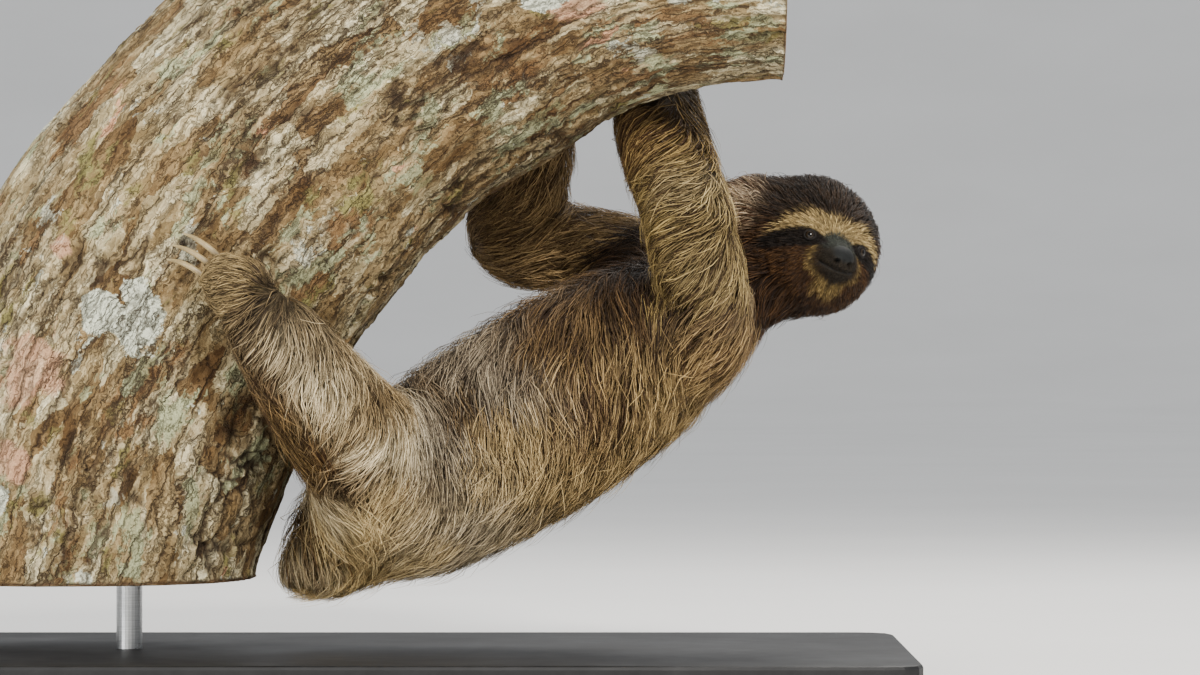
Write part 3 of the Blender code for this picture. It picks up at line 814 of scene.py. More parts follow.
# Outlines of the marks in the head's frame, in millimetres: u, or a half width, at each l or u.
BAND_TOP = ((0.0, 10.0, 20.0, 28.0, 36.0, 42.0, 48.0), (13.0, 13.2, 15.0, 12.5, 6.5, 0.0, -8.0))
STRIPE_MIDDLE = ((8.5, 14.0, 21.5, 28.5, 39.0, 46.0, 52.0), (-9.8, -7.2, -6.3, -7.7, -10.3, -12.5, -17.0))
STRIPE_HALF = ((8.5, 13.0, 20.0, 28.0, 39.0, 46.0, 53.0), (0.0, 4.4, 7.4, 7.8, 6.4, 4.2, 0.5))
MUZZLE_HALF = (
    (-38.0, -36.0, -33.0, -28.0, -22.0, -15.0, -10.0, -5.0, -2.0, 0.0),
    (0.0, 6.5, 12.5, 17.0, 18.5, 15.5, 13.0, 11.0, 8.0, 3.0),
)


def node_hairs(labels):
    """Dark hairs, pale hairs and the share of pale ones by node. The head's come with its marks."""
    rows = [HAIRS.get(node) or HAIRS.get(kind_of(node), HAIRS["neck"]) for node in FLESH]
    return tuple(np.array(column)[labels] for column in zip(*rows))


def laid(dark, pale, over, strength):
    """Dark and pale hairs with another region's laid over them."""
    return mix(dark, over[0], strength), mix(pale, over[1], strength)


def body_hairs(points, normals, labels):
    """The body's hairs: darker on the belly and in the armpit, partly as painted shade, warmer on the rump
    and paler there and underneath partly as painted light, with paler places that are partly painted
    sunlight.
    """
    dark, pale, share = node_hairs(labels)
    low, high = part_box("trunk")
    on_trunk = on_nodes(labels, "trunk", "neck", "tail")
    # Painted shade, together with the belly's darker hair, where the trunk faces up towards the bough.
    belly = ease(normals[:, 2] + 0.20 * clouds(points, 0.03, 5), 0.10, 0.75) * on_trunk
    armpit_x, armpit_z = box_place("trunk", 0.80, 0.98)
    near_armpit = np.hypot(points[:, 0] - armpit_x, points[:, 2] - armpit_z)
    # Painted shade in the armpit, together with its darker hair.
    armpit_and_shade = fall(near_armpit + 0.02 * clouds(points, 0.02, 7), 0.030, 0.080) * on_trunk
    # The rump: warmer hair, and paler partly as painted light.
    rump_and_light = fall(points[:, 0] + 0.04 * clouds(points, 0.03, 9), low.x + 0.02, low.x + 0.14) * on_trunk
    for strength, region in ((rump_and_light * 0.8, RUMP_AND_LIGHT), (belly, BELLY_AND_SHADE), (armpit_and_shade, ARMPIT_AND_SHADE)):
        dark, pale = laid(dark, pale, region, strength)
        share = share * (1.0 - strength) + region[2] * strength
    # Painted light: the trunk's underside takes more pale hairs, as if lit from below.
    share += 0.16 * ease(-normals[:, 2], 0.1, 0.9) * on_trunk
    for node, across, up, reach, gain in PALE_AND_SUNLIT_PLACES:
        x, z = box_place(node, across, up)
        here = bell(np.hypot(points[:, 0] - x, points[:, 2] - z), reach) * (points[:, 1] < high.y)
        # Pale places are partly painted patches of sunlight on the fur.
        share += gain * here
        tinge = STRAW_AND_SUN if gain > 0.0 else RUSSET
        dark, pale = laid(dark, pale, tinge, min(abs(gain) * TINGE, 1.0) * here)
    silver = on_trunk * ease(clouds(points, 0.05, 15, 2), -0.05, 0.35)
    silver *= fall(points[:, 0], low.x + 0.16, low.x + 0.26)
    dark, pale = laid(dark, pale, SILVER, silver * 0.6)
    share += 0.22 * clouds(points, 0.045, 11, 3) + 0.12 * clouds(points, 0.012, 13, 2)
    return dark, pale, share


def face_marks(local):
    """How strongly each mark of the face shows at places in the head's frame, 0 to 1."""
    side, up, ahead = head_parts(local)
    ragged = clouds(local, 4.0 * MM, 21) * 1.3 * MM
    over_stripe = up - curve(side, STRIPE_MIDDLE)
    stripe = fall_mm(np.abs(over_stripe) - curve(side, STRIPE_HALF) + ragged * 0.4, -0.8, 0.9)
    stripe *= ease_mm(side, 8.0, 9.5) * fall_mm(side, 44.0, 53.0)
    off_muzzle = side - curve(up, MUZZLE_HALF)
    soft = ease_mm(-up, 8.0, 20.0) * 3.5 * MM
    muzzle = fall(off_muzzle + ragged * 0.5, -1.0 * MM - soft, 1.5 * MM + soft)
    muzzle *= (up > -40.5 * MM) & (up < 0.5 * MM)
    muzzle = muzzle * ease_mm(ahead, 30.0, 36.0)
    # The bridge: the muzzle's upper part, its bluish-grey partly a painted sheen.
    bridge = muzzle * ease_mm(up - 0.25 * side + ragged * 0.6, -22.0, -13.0)
    band = fall_mm(up - curve(side, BAND_TOP) + ragged * 2.2, -4.0, 4.0)
    band *= ease_mm(over_stripe, -1.0, 3.0)
    band *= fall_mm(side, 38.0, 48.0)
    band = band * ease_mm(ahead, 8.0, 18.0)
    beside = np.where((up > -37.0 * MM) & (up < -8.0 * MM), np.abs(off_muzzle - 1.5 * MM), 1.0)
    beside = fall_mm(beside + ragged * 0.8, 0.5, 4.0)
    below = np.hypot(np.maximum(side - 6.0 * MM, 0.0), up + 38.0 * MM)
    below = fall_mm(below + ragged * 1.5, 1.5, 8.5)
    rim = np.maximum(beside * 0.75, below * 0.8)
    rim = rim * ease_mm(ahead, 22.0, 32.0) * (1.0 - muzzle)
    return stripe, muzzle, bridge, band, rim


def head_hairs(points, local):
    """The head's hairs: a dark crown, with the other marks laid over it in turn."""
    side, up, ahead = head_parts(local)
    stripe, muzzle, bridge, band, rim = face_marks(local)
    drift = clouds(points, 0.016, 31) * 5.0 * MM
    back = fall_mm(ahead + drift * 1.6, -34.0, 8.0)
    back *= ease_mm(up + drift * 2.0, -54.0, -16.0)
    nape_and_sun = ease_mm(side + drift * 1.6, 42.0, 68.0) * ease_mm(up + drift, -8.0, 8.0)
    nape_and_sun *= ease_mm(ahead + drift, -26.0, 2.0)
    cheek = fall_mm(up + drift * 0.6, -12.0, -4.0) * ease_mm(ahead, -4.0, 16.0)
    throat = fall_mm(up + drift * 0.6 - 0.35 * ahead, -66.0, -46.0)
    temple = ease_mm(side, 30.0, 44.0) * fall_mm(up, 0.0, 18.0)
    dark, pale = (np.broadcast_to(colour, points.shape) for colour in CROWN_HAIR)
    marks = (
        (temple * 0.7, CHEEK_HAIR),
        (cheek, CHEEK_HAIR),
        (back, BACK_HAIR),
        (nape_and_sun, NAPE_HAIR_AND_SUN),
        (throat, THROAT_HAIR),
        (rim * 0.85, RIM_HAIR),
        (band, BROW_HAIR),
        (muzzle, MUZZLE_HAIR),
        (bridge, BRIDGE_HAIR_AND_SHEEN),
        (stripe, STRIPE_HAIR),
    )
    for strength, hair in marks:
        dark, pale = laid(dark, pale, hair, strength)
    # The top of the nape takes more pale hairs: painted sunlight.
    share = 0.42 + 0.25 * clouds(points, 0.014, 41) + 0.14 * band + 0.22 * nape_and_sun * ease_mm(up, 8.0, 30.0)
    return dark, pale, share


def hairs(points, normals, labels):
    """Dark hairs, pale hairs and the share of pale ones anywhere on the animal."""
    dark, pale, share = body_hairs(points, normals, labels)
    local = to_head(points)
    near_head = ease_mm(local[:, 2] + 0.25 * local[:, 1], -52.0, -26.0)
    on_head = np.maximum(on_nodes(labels, "head"), near_head * on_nodes(labels, "neck"))
    *head, head_share = head_hairs(points, local)
    return *laid(dark, pale, head, on_head), share * (1.0 - on_head) + head_share * on_head


# ---- Skin ------------------------------------------------------------------------------


def coat_rows(labels):
    """The four columns of COAT for each point's node."""
    return np.array([COAT[kind_of(node)] for node in FLESH])[labels].T


def flesh_tree():
    """A search tree of the fleshy nodes' surfaces, with the node of each face."""
    places, faces, owners = [], [], []
    for index, node in enumerate(FLESH):
        mesh = NODES[node].data
        start = len(places)
        places += [v.co.copy() for v in mesh.vertices]
        for face in mesh.polygons:
            faces.append([start + i for i in face.vertices])
            owners.append(index)
    return BVHTree.FromPolygons(places, faces), np.array(owners)


HEAD_DEPTH = ((0.0, 12.0, 30.0, 60.0, 110.0), (0.2, 0.9, 1.6, 4.5, 9.0))  # by millimetres from the nose


def coat_depths(labels, local):
    """How deep the skin lies under the coat's tips."""
    depths = coat_rows(labels)[0]
    return np.where(on_nodes(labels, "head"), curve(from_nose(local), HEAD_DEPTH), depths)


def on_face(local):
    """The whole face."""
    return (local[:, 2] > 12 * MM) & (local[:, 1] < 30 * MM)


def on_features(local):
    """The eyes, nose and mouth and what lies between them."""
    side, up, ahead = head_parts(local)
    return (ahead > 27 * MM) & (side < 36 * MM) & (up < 6 * MM) & (up > -44 * MM)


def by_openings(local):
    """Close round the eyes and nostrils."""
    eye = np.array((EYE_HALF, -EYE_DROP, EYE_OUT))
    near = np.zeros(len(local), bool)
    for middle, reach in ((eye, 9.5 * MM), (NOSTRIL, 5.5 * MM)):
        for side in (-1, 1):
            near |= np.linalg.norm(local - middle * (side, 1, 1), axis=1) < reach
    return near


def finer_face(mesh, depths):
    """Subdivides the face, then its features, then round its openings. Keeps the coat's depth."""
    bm = bmesh.new()
    bm.from_mesh(mesh)
    layer = bm.verts.layers.float.new("depth")
    bm.verts.ensure_lookup_table()
    for vertex, depth in zip(bm.verts, depths):
        vertex[layer] = depth
    for chosen in (on_face, on_features, by_openings):
        bm.verts.ensure_lookup_table()
        wanted = chosen(to_head(np.array([v.co for v in bm.verts])))
        edges = [e for e in bm.edges if wanted[e.verts[0].index] and wanted[e.verts[1].index]]
        bmesh.ops.subdivide_edges(bm, edges=edges, cuts=1, use_grid_fill=True)
        bm.verts.index_update()
    bmesh.ops.triangulate(bm, faces=[f for f in bm.faces if len(f.verts) > 4])
    bm.verts.ensure_lookup_table()
    depths = np.array([v[layer] for v in bm.verts])
    bm.verts.layers.float.remove(layer)
    bm.to_mesh(mesh)
    bm.free()
    return depths


def off_mouth(side, up):
    """How far a place is above the line of the mouth, which turns up at its ends."""
    return up - (MOUTH_LOW + MOUTH_RISE * (side / MOUTH_HALF) ** 2.2)


def shape_mouth(local):
    """The lips and the line between them."""
    side, up, ahead = head_parts(local)
    gap = off_mouth(side, up)
    here = ease_mm(ahead, 40, 46) * fall(side, MOUTH_HALF - 1 * MM, MOUTH_HALF + 2 * MM)
    groove = -1.7 * MM * bell(gap, 0.7 * MM)
    upper = 0.2 * MM * bell(gap - 2.8 * MM, 1.7 * MM)
    lower = 0.2 * MM * bell(gap + 2.6 * MM, 1.6 * MM)
    dimple = -0.8 * MM * bell(np.hypot(side - MOUTH_HALF, gap), 2.2 * MM) * ease_mm(ahead, 38, 44)
    return (groove + upper + lower) * here + dimple


def off_pad(local):
    """How far a place is from the middle of the nose pad, which is wider than it is tall."""
    return np.hypot(local[:, 0] / 1.35, local[:, 1] - NOSE[1] - 1 * MM)


def shape_nose(local):
    """The broad nose pad, its two nostrils and the short furrow under it."""
    side, up, ahead = head_parts(local)
    across = np.hypot(side - NOSTRIL[0], (up - NOSTRIL[1]) * 1.15)
    hole = -4.2 * MM * bell(across, 1.9 * MM, 4)
    wing = 0.6 * MM * bell(across - 3.1 * MM, 1.2 * MM)
    pad = off_pad(local)
    swell = 0.5 * MM * bell(pad, 6.5 * MM, 4)
    edge = -0.25 * MM * bell(pad - 8.0 * MM, 1.2 * MM)
    furrow = -0.7 * MM * bell(side, 0.6 * MM) * ((up < -24 * MM) & (up > MOUTH_LOW))
    return (hole + wing + swell + edge + furrow) * ease_mm(ahead, 52, 57)


# How proud the lids stand of the eye, in millimetres, by degrees past their edge.
LID_RIM = ((-6, -1, 3, 8, 14, 20, 28), (-1.6, -0.5, 0.75, 1.05, 0.7, 0.85, 1.5))
LID_REACH = 9 * MM  # how far past the eye's radius the skin is shaped


def shape_lids(local, eye, gaze, radius):
    """Lids round one eye: an almond opening, a thick rim and a fold outside it."""
    away = local - eye
    reach = np.linalg.norm(away, axis=1)
    way = unit(away)
    turn = np.arccos(np.clip(way @ gaze, -1.0, 1.0))
    across = unit(np.cross((0.0, 1.0, 0.0), gaze))
    over = np.cross(gaze, across)
    round_x, round_y = way @ across, way @ over
    wide = np.hypot(round_x / math.sin(EYE_OPEN_WIDE), round_y / math.sin(EYE_OPEN_TALL))
    opening = turn / np.maximum(wide, 1e-6) * np.where(wide > 0, 1.0, 0.0)
    past = turn - opening
    past = np.where(wide < 1e-3, -EYE_OPEN_TALL, past)
    degrees = np.degrees(past)
    target = radius + np.interp(degrees, *LID_RIM) * MM
    keep = ease(degrees, 12.0, 42.0)
    depth = np.where(keep < 1.0, target * (1.0 - keep) + reach * keep, reach)
    close = (reach < radius + LID_REACH) & (way @ gaze > 0.05)
    moved = eye + way * depth[:, None]
    return np.where(close[:, None], moved, local), np.where(close, degrees, 90.0)


def shape_face(mesh):
    """Models the face on the finer skin. Says where it is bare, on the lids and on the lips."""
    local = to_head(points_of(mesh))
    side, up, ahead = head_parts(local)
    face = ease_mm(ahead, 10, 20) * (side < 60 * MM) * (up < 34 * MM)
    local = mix(local, spread(local, edges_of(mesh), 6), face)
    place_points(mesh, from_head(local))
    outward = normals_of(mesh) @ HEAD_AXES
    side, up, ahead = head_parts(local)
    brow = 1.3 * MM * spot(side - 20 * MM, up - 4 * MM, 10 * MM, 4.5 * MM)
    cheek = 1.2 * MM * spot(side - 26 * MM, up + 24 * MM, 8 * MM, 8 * MM)
    bridge = -0.8 * MM * spot(side, up + 1 * MM, 5 * MM, 5 * MM)
    lift = (brow + cheek + bridge) * face
    lift += (shape_mouth(local) + shape_nose(local)) * ease_mm(ahead, 30, 36)
    local = local + outward * lift[:, None]
    gape = np.full(len(local), 90.0)
    for node, sign in (("eye_left", 1), ("eye_right", -1)):
        eye = to_head(np.array(middle_of(node))[None])[0]
        low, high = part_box(node)
        gaze = np.array((GAZE.x * sign, GAZE.y, GAZE.z))
        radius = (high - low).x / 2
        local, degrees = shape_lids(local, eye, gaze / np.linalg.norm(gaze), radius)
        gape = np.minimum(gape, degrees)
    up, ahead = local[:, 1], local[:, 2]
    bare = fall_mm(off_pad(local), 5.0, 8.5) * ease_mm(ahead, 50, 55)
    lips = fall_mm(np.abs(off_mouth(side, up)), 0.5, 1.4)
    lips *= ease_mm(ahead, 42, 46) * (side < MOUTH_HALF)
    lids = fall(gape, 10.0, 24.0)
    bare = np.maximum(np.maximum(bare, lips), lids)
    place_points(mesh, from_head(local))
    return bare, lids, lips


def make_skin():
    """The one skin: its mesh, each point's node, the coat's depth, and the bare places."""
    tree, owners = flesh_tree()
    mesh = remeshed(joined(FLESH + ["eye_left", "eye_right"], "skin"), SKIN_GRAIN, PUFF)
    edges = edges_of(mesh)
    places = spread(points_of(mesh), edges, 9)
    labels = np.array([owners[tree.find_nearest(Vector(p))[2]] for p in places])
    local = to_head(places)
    wanted = coat_depths(labels, local)
    depths = spread(wanted, edges, 40)
    face = on_nodes(labels, "head") & (local[:, 2] > 20 * MM)
    depths = np.where(face, np.minimum(depths, wanted), depths)
    place_points(mesh, places)
    places = places - normals_of(mesh) * (depths + PUFF)[:, None]
    places = spread(places, edges, 2)
    place_points(mesh, places)
    coarse = KDTree(len(places))
    for index, place in enumerate(places):
        coarse.insert(place, index)
    coarse.balance()
    depths = finer_face(mesh, depths)
    bare, lids, lips = shape_face(mesh)
    labels = labels[[coarse.find(p)[1] for p in points_of(mesh)]]
    return mesh, labels, depths, bare, lids, lips


# ---- The lie of the hair ---------------------------------------------------------------

# Where the hair points on each group of nodes. A guide is its shares of the node's box along x
# and z, and its way to the right and up as the near side shows it. Legs take the same on both
# sides of the body.
TRUNK_LIE = {
    "trunk": [
        (0.32, 0.67, -1.0, -0.6), (0.5, 0.76, -0.5, -1.0), (0.56, 0.83, -1.0, -0.35),
        (0.64, 0.83, -1.0, -0.7), (0.71, 0.78, 0.5, -1.0), (0.33, 0.48, 0.5, -1.0),
        (0.48, 0.5, 0.25, -1.0), (0.62, 0.52, 0.15, -1.0), (0.76, 0.6, -0.1, -1.0),
        (0.87, 0.7, -0.7, -1.0), (0.86, 0.86, -0.7, -0.9), (0.93, 0.8, -0.4, -1.0),
        (0.35, 0.33, -0.1, -1.0), (0.41, 0.24, -0.5, -1.0), (0.58, 0.3, -0.5, -0.9),
        (0.48, 0.14, -1.0, -0.5), (0.27, 0.12, -0.9, -0.9), (0.29, 0.2, -0.6, -1.0),
        (0.14, 0.24, 0.45, -1.0), (0.04, 0.26, 0.0, -1.0),
    ],
    "tail": [(0.3, 0.5, 0.0, -1.0)],
    "neck": [
        (0.7, 0.56, -1.0, 0.0), (0.7, 0.18, -0.6, -1.0), (0.3, 0.8, -1.0, -0.8),
    ],
}
LEG_LIE = {
    "foot": [
        (0.75, 0.68, -1.0, 0.6), (0.42, 0.43, -1.0, 0.0), (0.47, 0.19, -1.0, -0.6),
    ],
    "shank": [
        (0.8, 0.9, 0.5, 0.6), (0.44, 0.64, -0.8, -1.0), (0.62, 0.55, -0.1, -1.0),
        (0.85, 0.53, 0.7, -1.0), (0.4, 0.28, -0.4, -1.0),
    ],
    "thigh": [
        (0.58, 0.75, 0.6, -1.0), (0.42, 0.58, 0.1, -1.0), (0.15, 0.5, 0.4, -1.0),
        (0.72, 0.6, 0.0, -1.0), (0.55, 0.4, -0.6, -1.0), (0.88, 0.45, 0.0, -1.0),
        (0.83, 0.22, -1.0, -0.8), (0.6, 0.18, -1.0, -0.6), (0.4, 0.22, 0.8, -0.9),
    ],
}
ARM_NEAR_LIE = {
    "hand_near": [(0.5, 0.5, 0.1, -1.0)],
    "forearm_near": [
        (0.5, 0.6, 0.1, -1.0), (0.3, 0.25, -0.5, -1.0),
    ],
    "upper_arm_near": [
        (0.28, 0.92, -0.7, -0.8), (0.62, 0.9, 0.1, -1.0), (0.68, 0.7, -0.5, -0.8),
        (0.4, 0.64, -1.0, -0.35), (0.46, 0.47, -1.0, -0.3), (0.8, 0.5, -0.2, -1.0),
        (0.7, 0.3, -0.6, -0.8), (0.42, 0.22, -1.0, -0.5), (0.9, 0.2, 0.0, -1.0),
    ],
}
ARM_FAR_LIE = {
    "hand_far": [(0.5, 0.5, -0.1, -1.0)],
    "forearm_far": [
        (0.7, 0.7, -0.2, -1.0), (0.75, 0.39, -0.6, -1.0), (0.35, 0.12, -1.0, -0.5),
    ],
    "upper_arm_far": [
        (0.25, 0.6, -1.0, -0.2), (0.56, 0.6, -1.0, -0.1), (0.85, 0.6, -1.0, -0.2),
    ],
}
PARTING = 1.4  # how strongly the belly's hair falls away from its middle line
GUIDE_REACH = 8 * MM  # within this of a guide, its own way rules


def sided(table, side):
    """A leg's guides for its near or its far side."""
    return {node + side: guides for node, guides in table.items()}


LIE_GROUPS = [TRUNK_LIE, sided(LEG_LIE, "_near"), sided(LEG_LIE, "_far"), ARM_NEAR_LIE, ARM_FAR_LIE]


def flat_on(ways, normals):
    """Ways laid flat on the surface and made one long."""
    return unit(ways - normals * np.sum(ways * normals, axis=1, keepdims=True))


def lie_of_hair(mesh, labels):
    """The way that the hair points at each point of the skin."""
    places, normals = points_of(mesh), normals_of(mesh)
    ways = np.zeros_like(places)
    for table in LIE_GROUPS:
        here = on_nodes(labels, *table)
        guides = np.array([box_place(node, *row[:2]) for node, rows in table.items() for row in rows])
        aims = unit(np.array([row[2:] for rows in table.values() for row in rows]))
        gaps = np.linalg.norm(places[here][:, None, (0, 2)] - guides[None], axis=2)
        pull = 1.0 / (gaps**2 + GUIDE_REACH**2) ** 1.6
        flat = pull @ aims / pull.sum(axis=1, keepdims=True)
        ways[here, 0] = flat[:, 0]
        ways[here, 2] = flat[:, 1]
    middle = middle_of("trunk").y
    parting = np.sign(places[:, 1] - middle) * np.maximum(normals[:, 2], 0.0) * PARTING
    ways[:, 1] += parting * on_nodes(labels, "trunk")
    local = to_head(places)
    back = unit(local - (NOSE + (0.0, 4 * MM, 10 * MM)))
    back[:, 2] -= 0.3 * ease_mm(local[:, 2], 30, -10)
    on_head = on_nodes(labels, "head")
    ways[on_head] = (back @ HEAD_AXES.T)[on_head]
    ways[on_head, 2] -= 0.25
    ways = flat_on(ways, normals)
    edges = edges_of(mesh)
    kept = ease_mm(local[:, 2], 0, 25) * on_head
    for _ in range(7):
        ways = unit(mix(flat_on(spread(ways, edges, 4), normals), ways, kept))
    return ways


# ---- Coat ------------------------------------------------------------------------------

LONG_SHARES = (0.0, 0.28, 0.55, 0.80, 1.0)  # of a lock's length: root, three rings and tip
SHORT_SHARES = (0.0, 0.38, 0.72, 1.0)
LONGEST_SHORT = 15 * MM  # locks up to this length get two rings
# Painted shade: each lock is darkened towards its root, where it lies deep in the coat.
SHADE = ((0.0, 0.3, 0.6, 1.0), (0.26, 0.68, 1.02, 1.25))  # a lock's light from root to tip
FAR_SHARE = 0.72  # the far limbs carry fewer locks, to keep the coat light
GUIDE_SHARE = 1 / 13  # of the locks, those that the others near them lean to
STRAY_SHARE = 0.06  # of the long locks, those that go their own way
PROUD = 1.35  # how much higher the stray locks stand
STRAY_HALF = 0.75  # and how wide they are beside the others
LENGTH_RANGE = (0.7, 1.2)  # of a lock's length beside its place's
HALF_RANGE = (0.75, 1.2)  # of its half width
RISE_RANGE = (0.38, 1.08)  # of its height in the coat
LIGHT_RANGE = (0.74, 1.20)  # of its lightness
PATCH = 0.003  # how wide a lock's patch on the OFBake map is
TRUNK_PIECES = 4

# The head's locks by their millimetres from the nose: length and half width in millimetres, and
# how many grow on a square centimetre.
HEAD_STEPS = (0.0, 10.0, 18.0, 30.0, 50.0, 75.0, 110.0)
HEAD_LENGTH = (1.6, 2.2, 3.0, 4.8, 8.5, 16.0, 24.0)
HEAD_HALF = (0.10, 0.12, 0.14, 0.17, 0.23, 0.32, 0.42)
HEAD_THICK = (260.0, 230.0, 180.0, 135.0, 88.0, 50.0, 30.0)


def lock_sizes(labels, local):
    """Length and half width of the locks, and how many grow on a square metre."""
    _, length, half, thick = coat_rows(labels)
    away = from_nose(local)
    on_head = on_nodes(labels, "head")
    length = np.where(on_head, curve(away, (HEAD_STEPS, HEAD_LENGTH)), length)
    half = np.where(on_head, curve(away, (HEAD_STEPS, HEAD_HALF)), half)
    thick = np.where(on_head, np.interp(away / MM, HEAD_STEPS, HEAD_THICK), thick)
    return length, half, thick * 1e4


def sow(mesh, thick, random):
    """Roots scattered over the skin: the triangle of each and its place in it."""
    mesh.calc_loop_triangles()
    corners = read(mesh.loop_triangles, "vertices", 3, np.int32)
    places = points_of(mesh)
    a, b, c = (places[corners[:, i]] for i in range(3))
    area = np.linalg.norm(np.cross(b - a, c - a), axis=1) / 2
    wanted = area * thick[corners].mean(axis=1)
    count = np.floor(wanted + random.random(len(wanted))).astype(int)
    chosen = np.repeat(np.arange(len(corners)), count)
    first, second = random.random((2, len(chosen)))
    over = first + second > 1.0
    first = np.where(over, 1.0 - first, first)
    second = np.where(over, 1.0 - second, second)
    shares = np.column_stack((1.0 - first - second, first, second))
    return corners[chosen], shares


def blended(values, corners, shares):
    """Vertex values read at places inside triangles."""
    if values.ndim == 1:
        return (values[corners] * shares).sum(axis=1)
    return (values[corners] * shares[..., None]).sum(axis=1)


def follow(tree, face_ways, face_ups, roots, lengths, turns, curls, shares):
    """Walks from each root over the skin, first turned from the lie of the hair, then curling."""
    path = np.empty((len(roots), len(shares), 3))
    ups = np.empty_like(path)
    ways = np.empty_like(path)
    steps = np.diff(shares)
    for index in range(len(roots)):
        here = Vector(roots[index])
        length = float(lengths[index])
        for station in range(len(shares)):
            turn = turns[index] + curls[index] * shares[station]
            lean = math.sin(turn)
            ahead = math.cos(turn)
            here, _, face, _ = tree.find_nearest(here)
            up = face_ups[face]
            way = face_ways[face]
            way = way * ahead + up.cross(way) * lean
            path[index, station] = here
            ups[index, station] = up
            ways[index, station] = way
            if station < len(steps):
                here = here + way * (length * float(steps[station]))
    return path, ups, ways


def shape_locks(path, ups, ways, lengths, heights, shares, strays, random):
    """Lifts the paths into locks: risen to the coat's depth, gathered to points, and wavy."""
    count = len(path)
    shares = np.array(shares)[None, :, None]
    length = lengths[:, None, None]
    height = heights[:, None, None] * np.sin(np.pi / 2 * np.minimum(shares * 1.25, 1.0))
    points = path + ups * height
    guides = np.flatnonzero(random.random(count) < GUIDE_SHARE)
    tree = KDTree(len(guides))
    for order, guide in enumerate(guides):
        tree.insert(path[guide, 0], order)
    tree.balance()
    leader = guides[[tree.find(root)[1] for root in path[:, 0]]]
    pull = (random.uniform(0.15, 0.75, count) * ~strays)[:, None, None] * shares**1.6
    points = points + (points[leader] - points) * pull
    across = np.cross(ups, ways)
    phase = random.uniform(0.0, 2 * np.pi, (count, 1, 1))
    beat = random.uniform(0.5, 1.3, (count, 1, 1))
    swing = 0.032 * length * np.sin(2 * np.pi * beat * shares + phase) * shares**0.5
    points = points + across * swing + ups * swing * 0.35
    points[:, :, 2] -= (0.05 * length * shares**2)[:, :, 0]
    points[:, 0] -= ups[:, 0] * 0.6 * MM
    return points


def lock_template(rings):
    """One lock's triangles and their corners on its OFBake patch."""
    triangles, corners = [], []
    rows = rings + 1
    for k in range(3):
        m = (k + 1) % 3
        left, right = k / 3, (k + 1) / 3
        first, second = 1 + k, 1 + m
        triangles.append((second, first, 0))
        corners.append(((right, 1 / rows), (left, 1 / rows), ((left + right) / 2, 0.0)))
        for ring in range(rings - 1):
            low, high = (ring + 1) / rows, (ring + 2) / rows
            a, b = first + 3 * ring, second + 3 * ring
            triangles.append((a, b, b + 3))
            corners.append(((left, low), (right, low), (right, high)))
            triangles.append((a, b + 3, a + 3))
            corners.append(((left, low), (right, high), (left, high)))
        last, top = 3 * (rings - 1), rings / rows
        triangles.append((first + last, second + last, 1 + 3 * rings))
        corners.append(((left, top), (right, top), ((left + right) / 2, 1.0)))
    return np.array(triangles), np.array(corners)


def lock_arrays(points, ups, half, shares, colours):
    """Vertices and colours of many three-sided locks, wide across and thin through."""
    rings = points.shape[1] - 2
    along = unit(points[:, 2:] - points[:, :-2])
    across = unit(np.cross(ups[:, 1:-1], along))
    over = np.cross(along, across)
    profile = np.interp(shares[1:-1], (0.0, 0.25, 0.55, 0.8, 1.0), (0.6, 1.0, 0.95, 0.62, 0.0))
    wide = half[:, None, None] * profile[None, :, None]
    middle = points[:, 1:-1]
    ring = np.stack((middle + across * wide, middle + over * wide * 0.7, middle - across * wide), axis=2)
    body = ring.reshape(len(points), rings * 3, 3)
    vertices = np.concatenate((points[:, :1], body, points[:, -1:]), axis=1)
    # Painted shade along each lock, darkest at the root.
    shade = np.interp(shares, *SHADE)
    shade = np.concatenate((shade[:1], np.repeat(shade[1:-1], 3), shade[-1:]))
    return vertices, colours[:, None, :] * shade[None, :, None]


def cylinder_chart(node, roots):
    """A node's skin unrolled round its longest axis: turn and distance, each 0 to 1."""
    places = points_of(NODES[node].data)
    middle = places.mean(axis=0)
    axes = np.linalg.svd(places - middle, full_matrices=False)[2]
    away = (roots - middle) @ axes.T
    turn = np.arctan2(away[:, 2], away[:, 1]) / (2 * np.pi) + 0.5
    span = away[:, 0]
    return np.column_stack((turn, (span - span.min()) / max(np.ptp(span), 1e-6)))


def disc_chart(roots, behind):
    """The head's skin flattened round the nose, or round the back of the head."""
    local = to_head(roots)
    way = unit(local)
    polar = np.arccos(np.clip(way[:, 2] * (-1.0 if behind else 1.0), -1.0, 1.0))
    turn = np.arctan2(way[:, 1], way[:, 0])
    reach = polar / polar.max() * 0.5
    return np.column_stack((0.5 + reach * np.cos(turn), 0.5 + reach * np.sin(turn)))


def unwrap(roots, labels, behind):
    """Every root's place on the piece's map: one chart for each node, side by side."""
    nodes = np.unique(labels)
    spots = np.zeros((len(roots), 2))
    for column, index in enumerate(nodes):
        here = labels == index
        node = FLESH[index]
        chart = disc_chart(roots[here], behind) if node == "head" else cylinder_chart(node, roots[here])
        spots[here, 0] = (column + 0.03 + 0.94 * chart[:, 0]) / len(nodes)
        spots[here, 1] = 0.01 + 0.98 * chart[:, 1]
    return spots


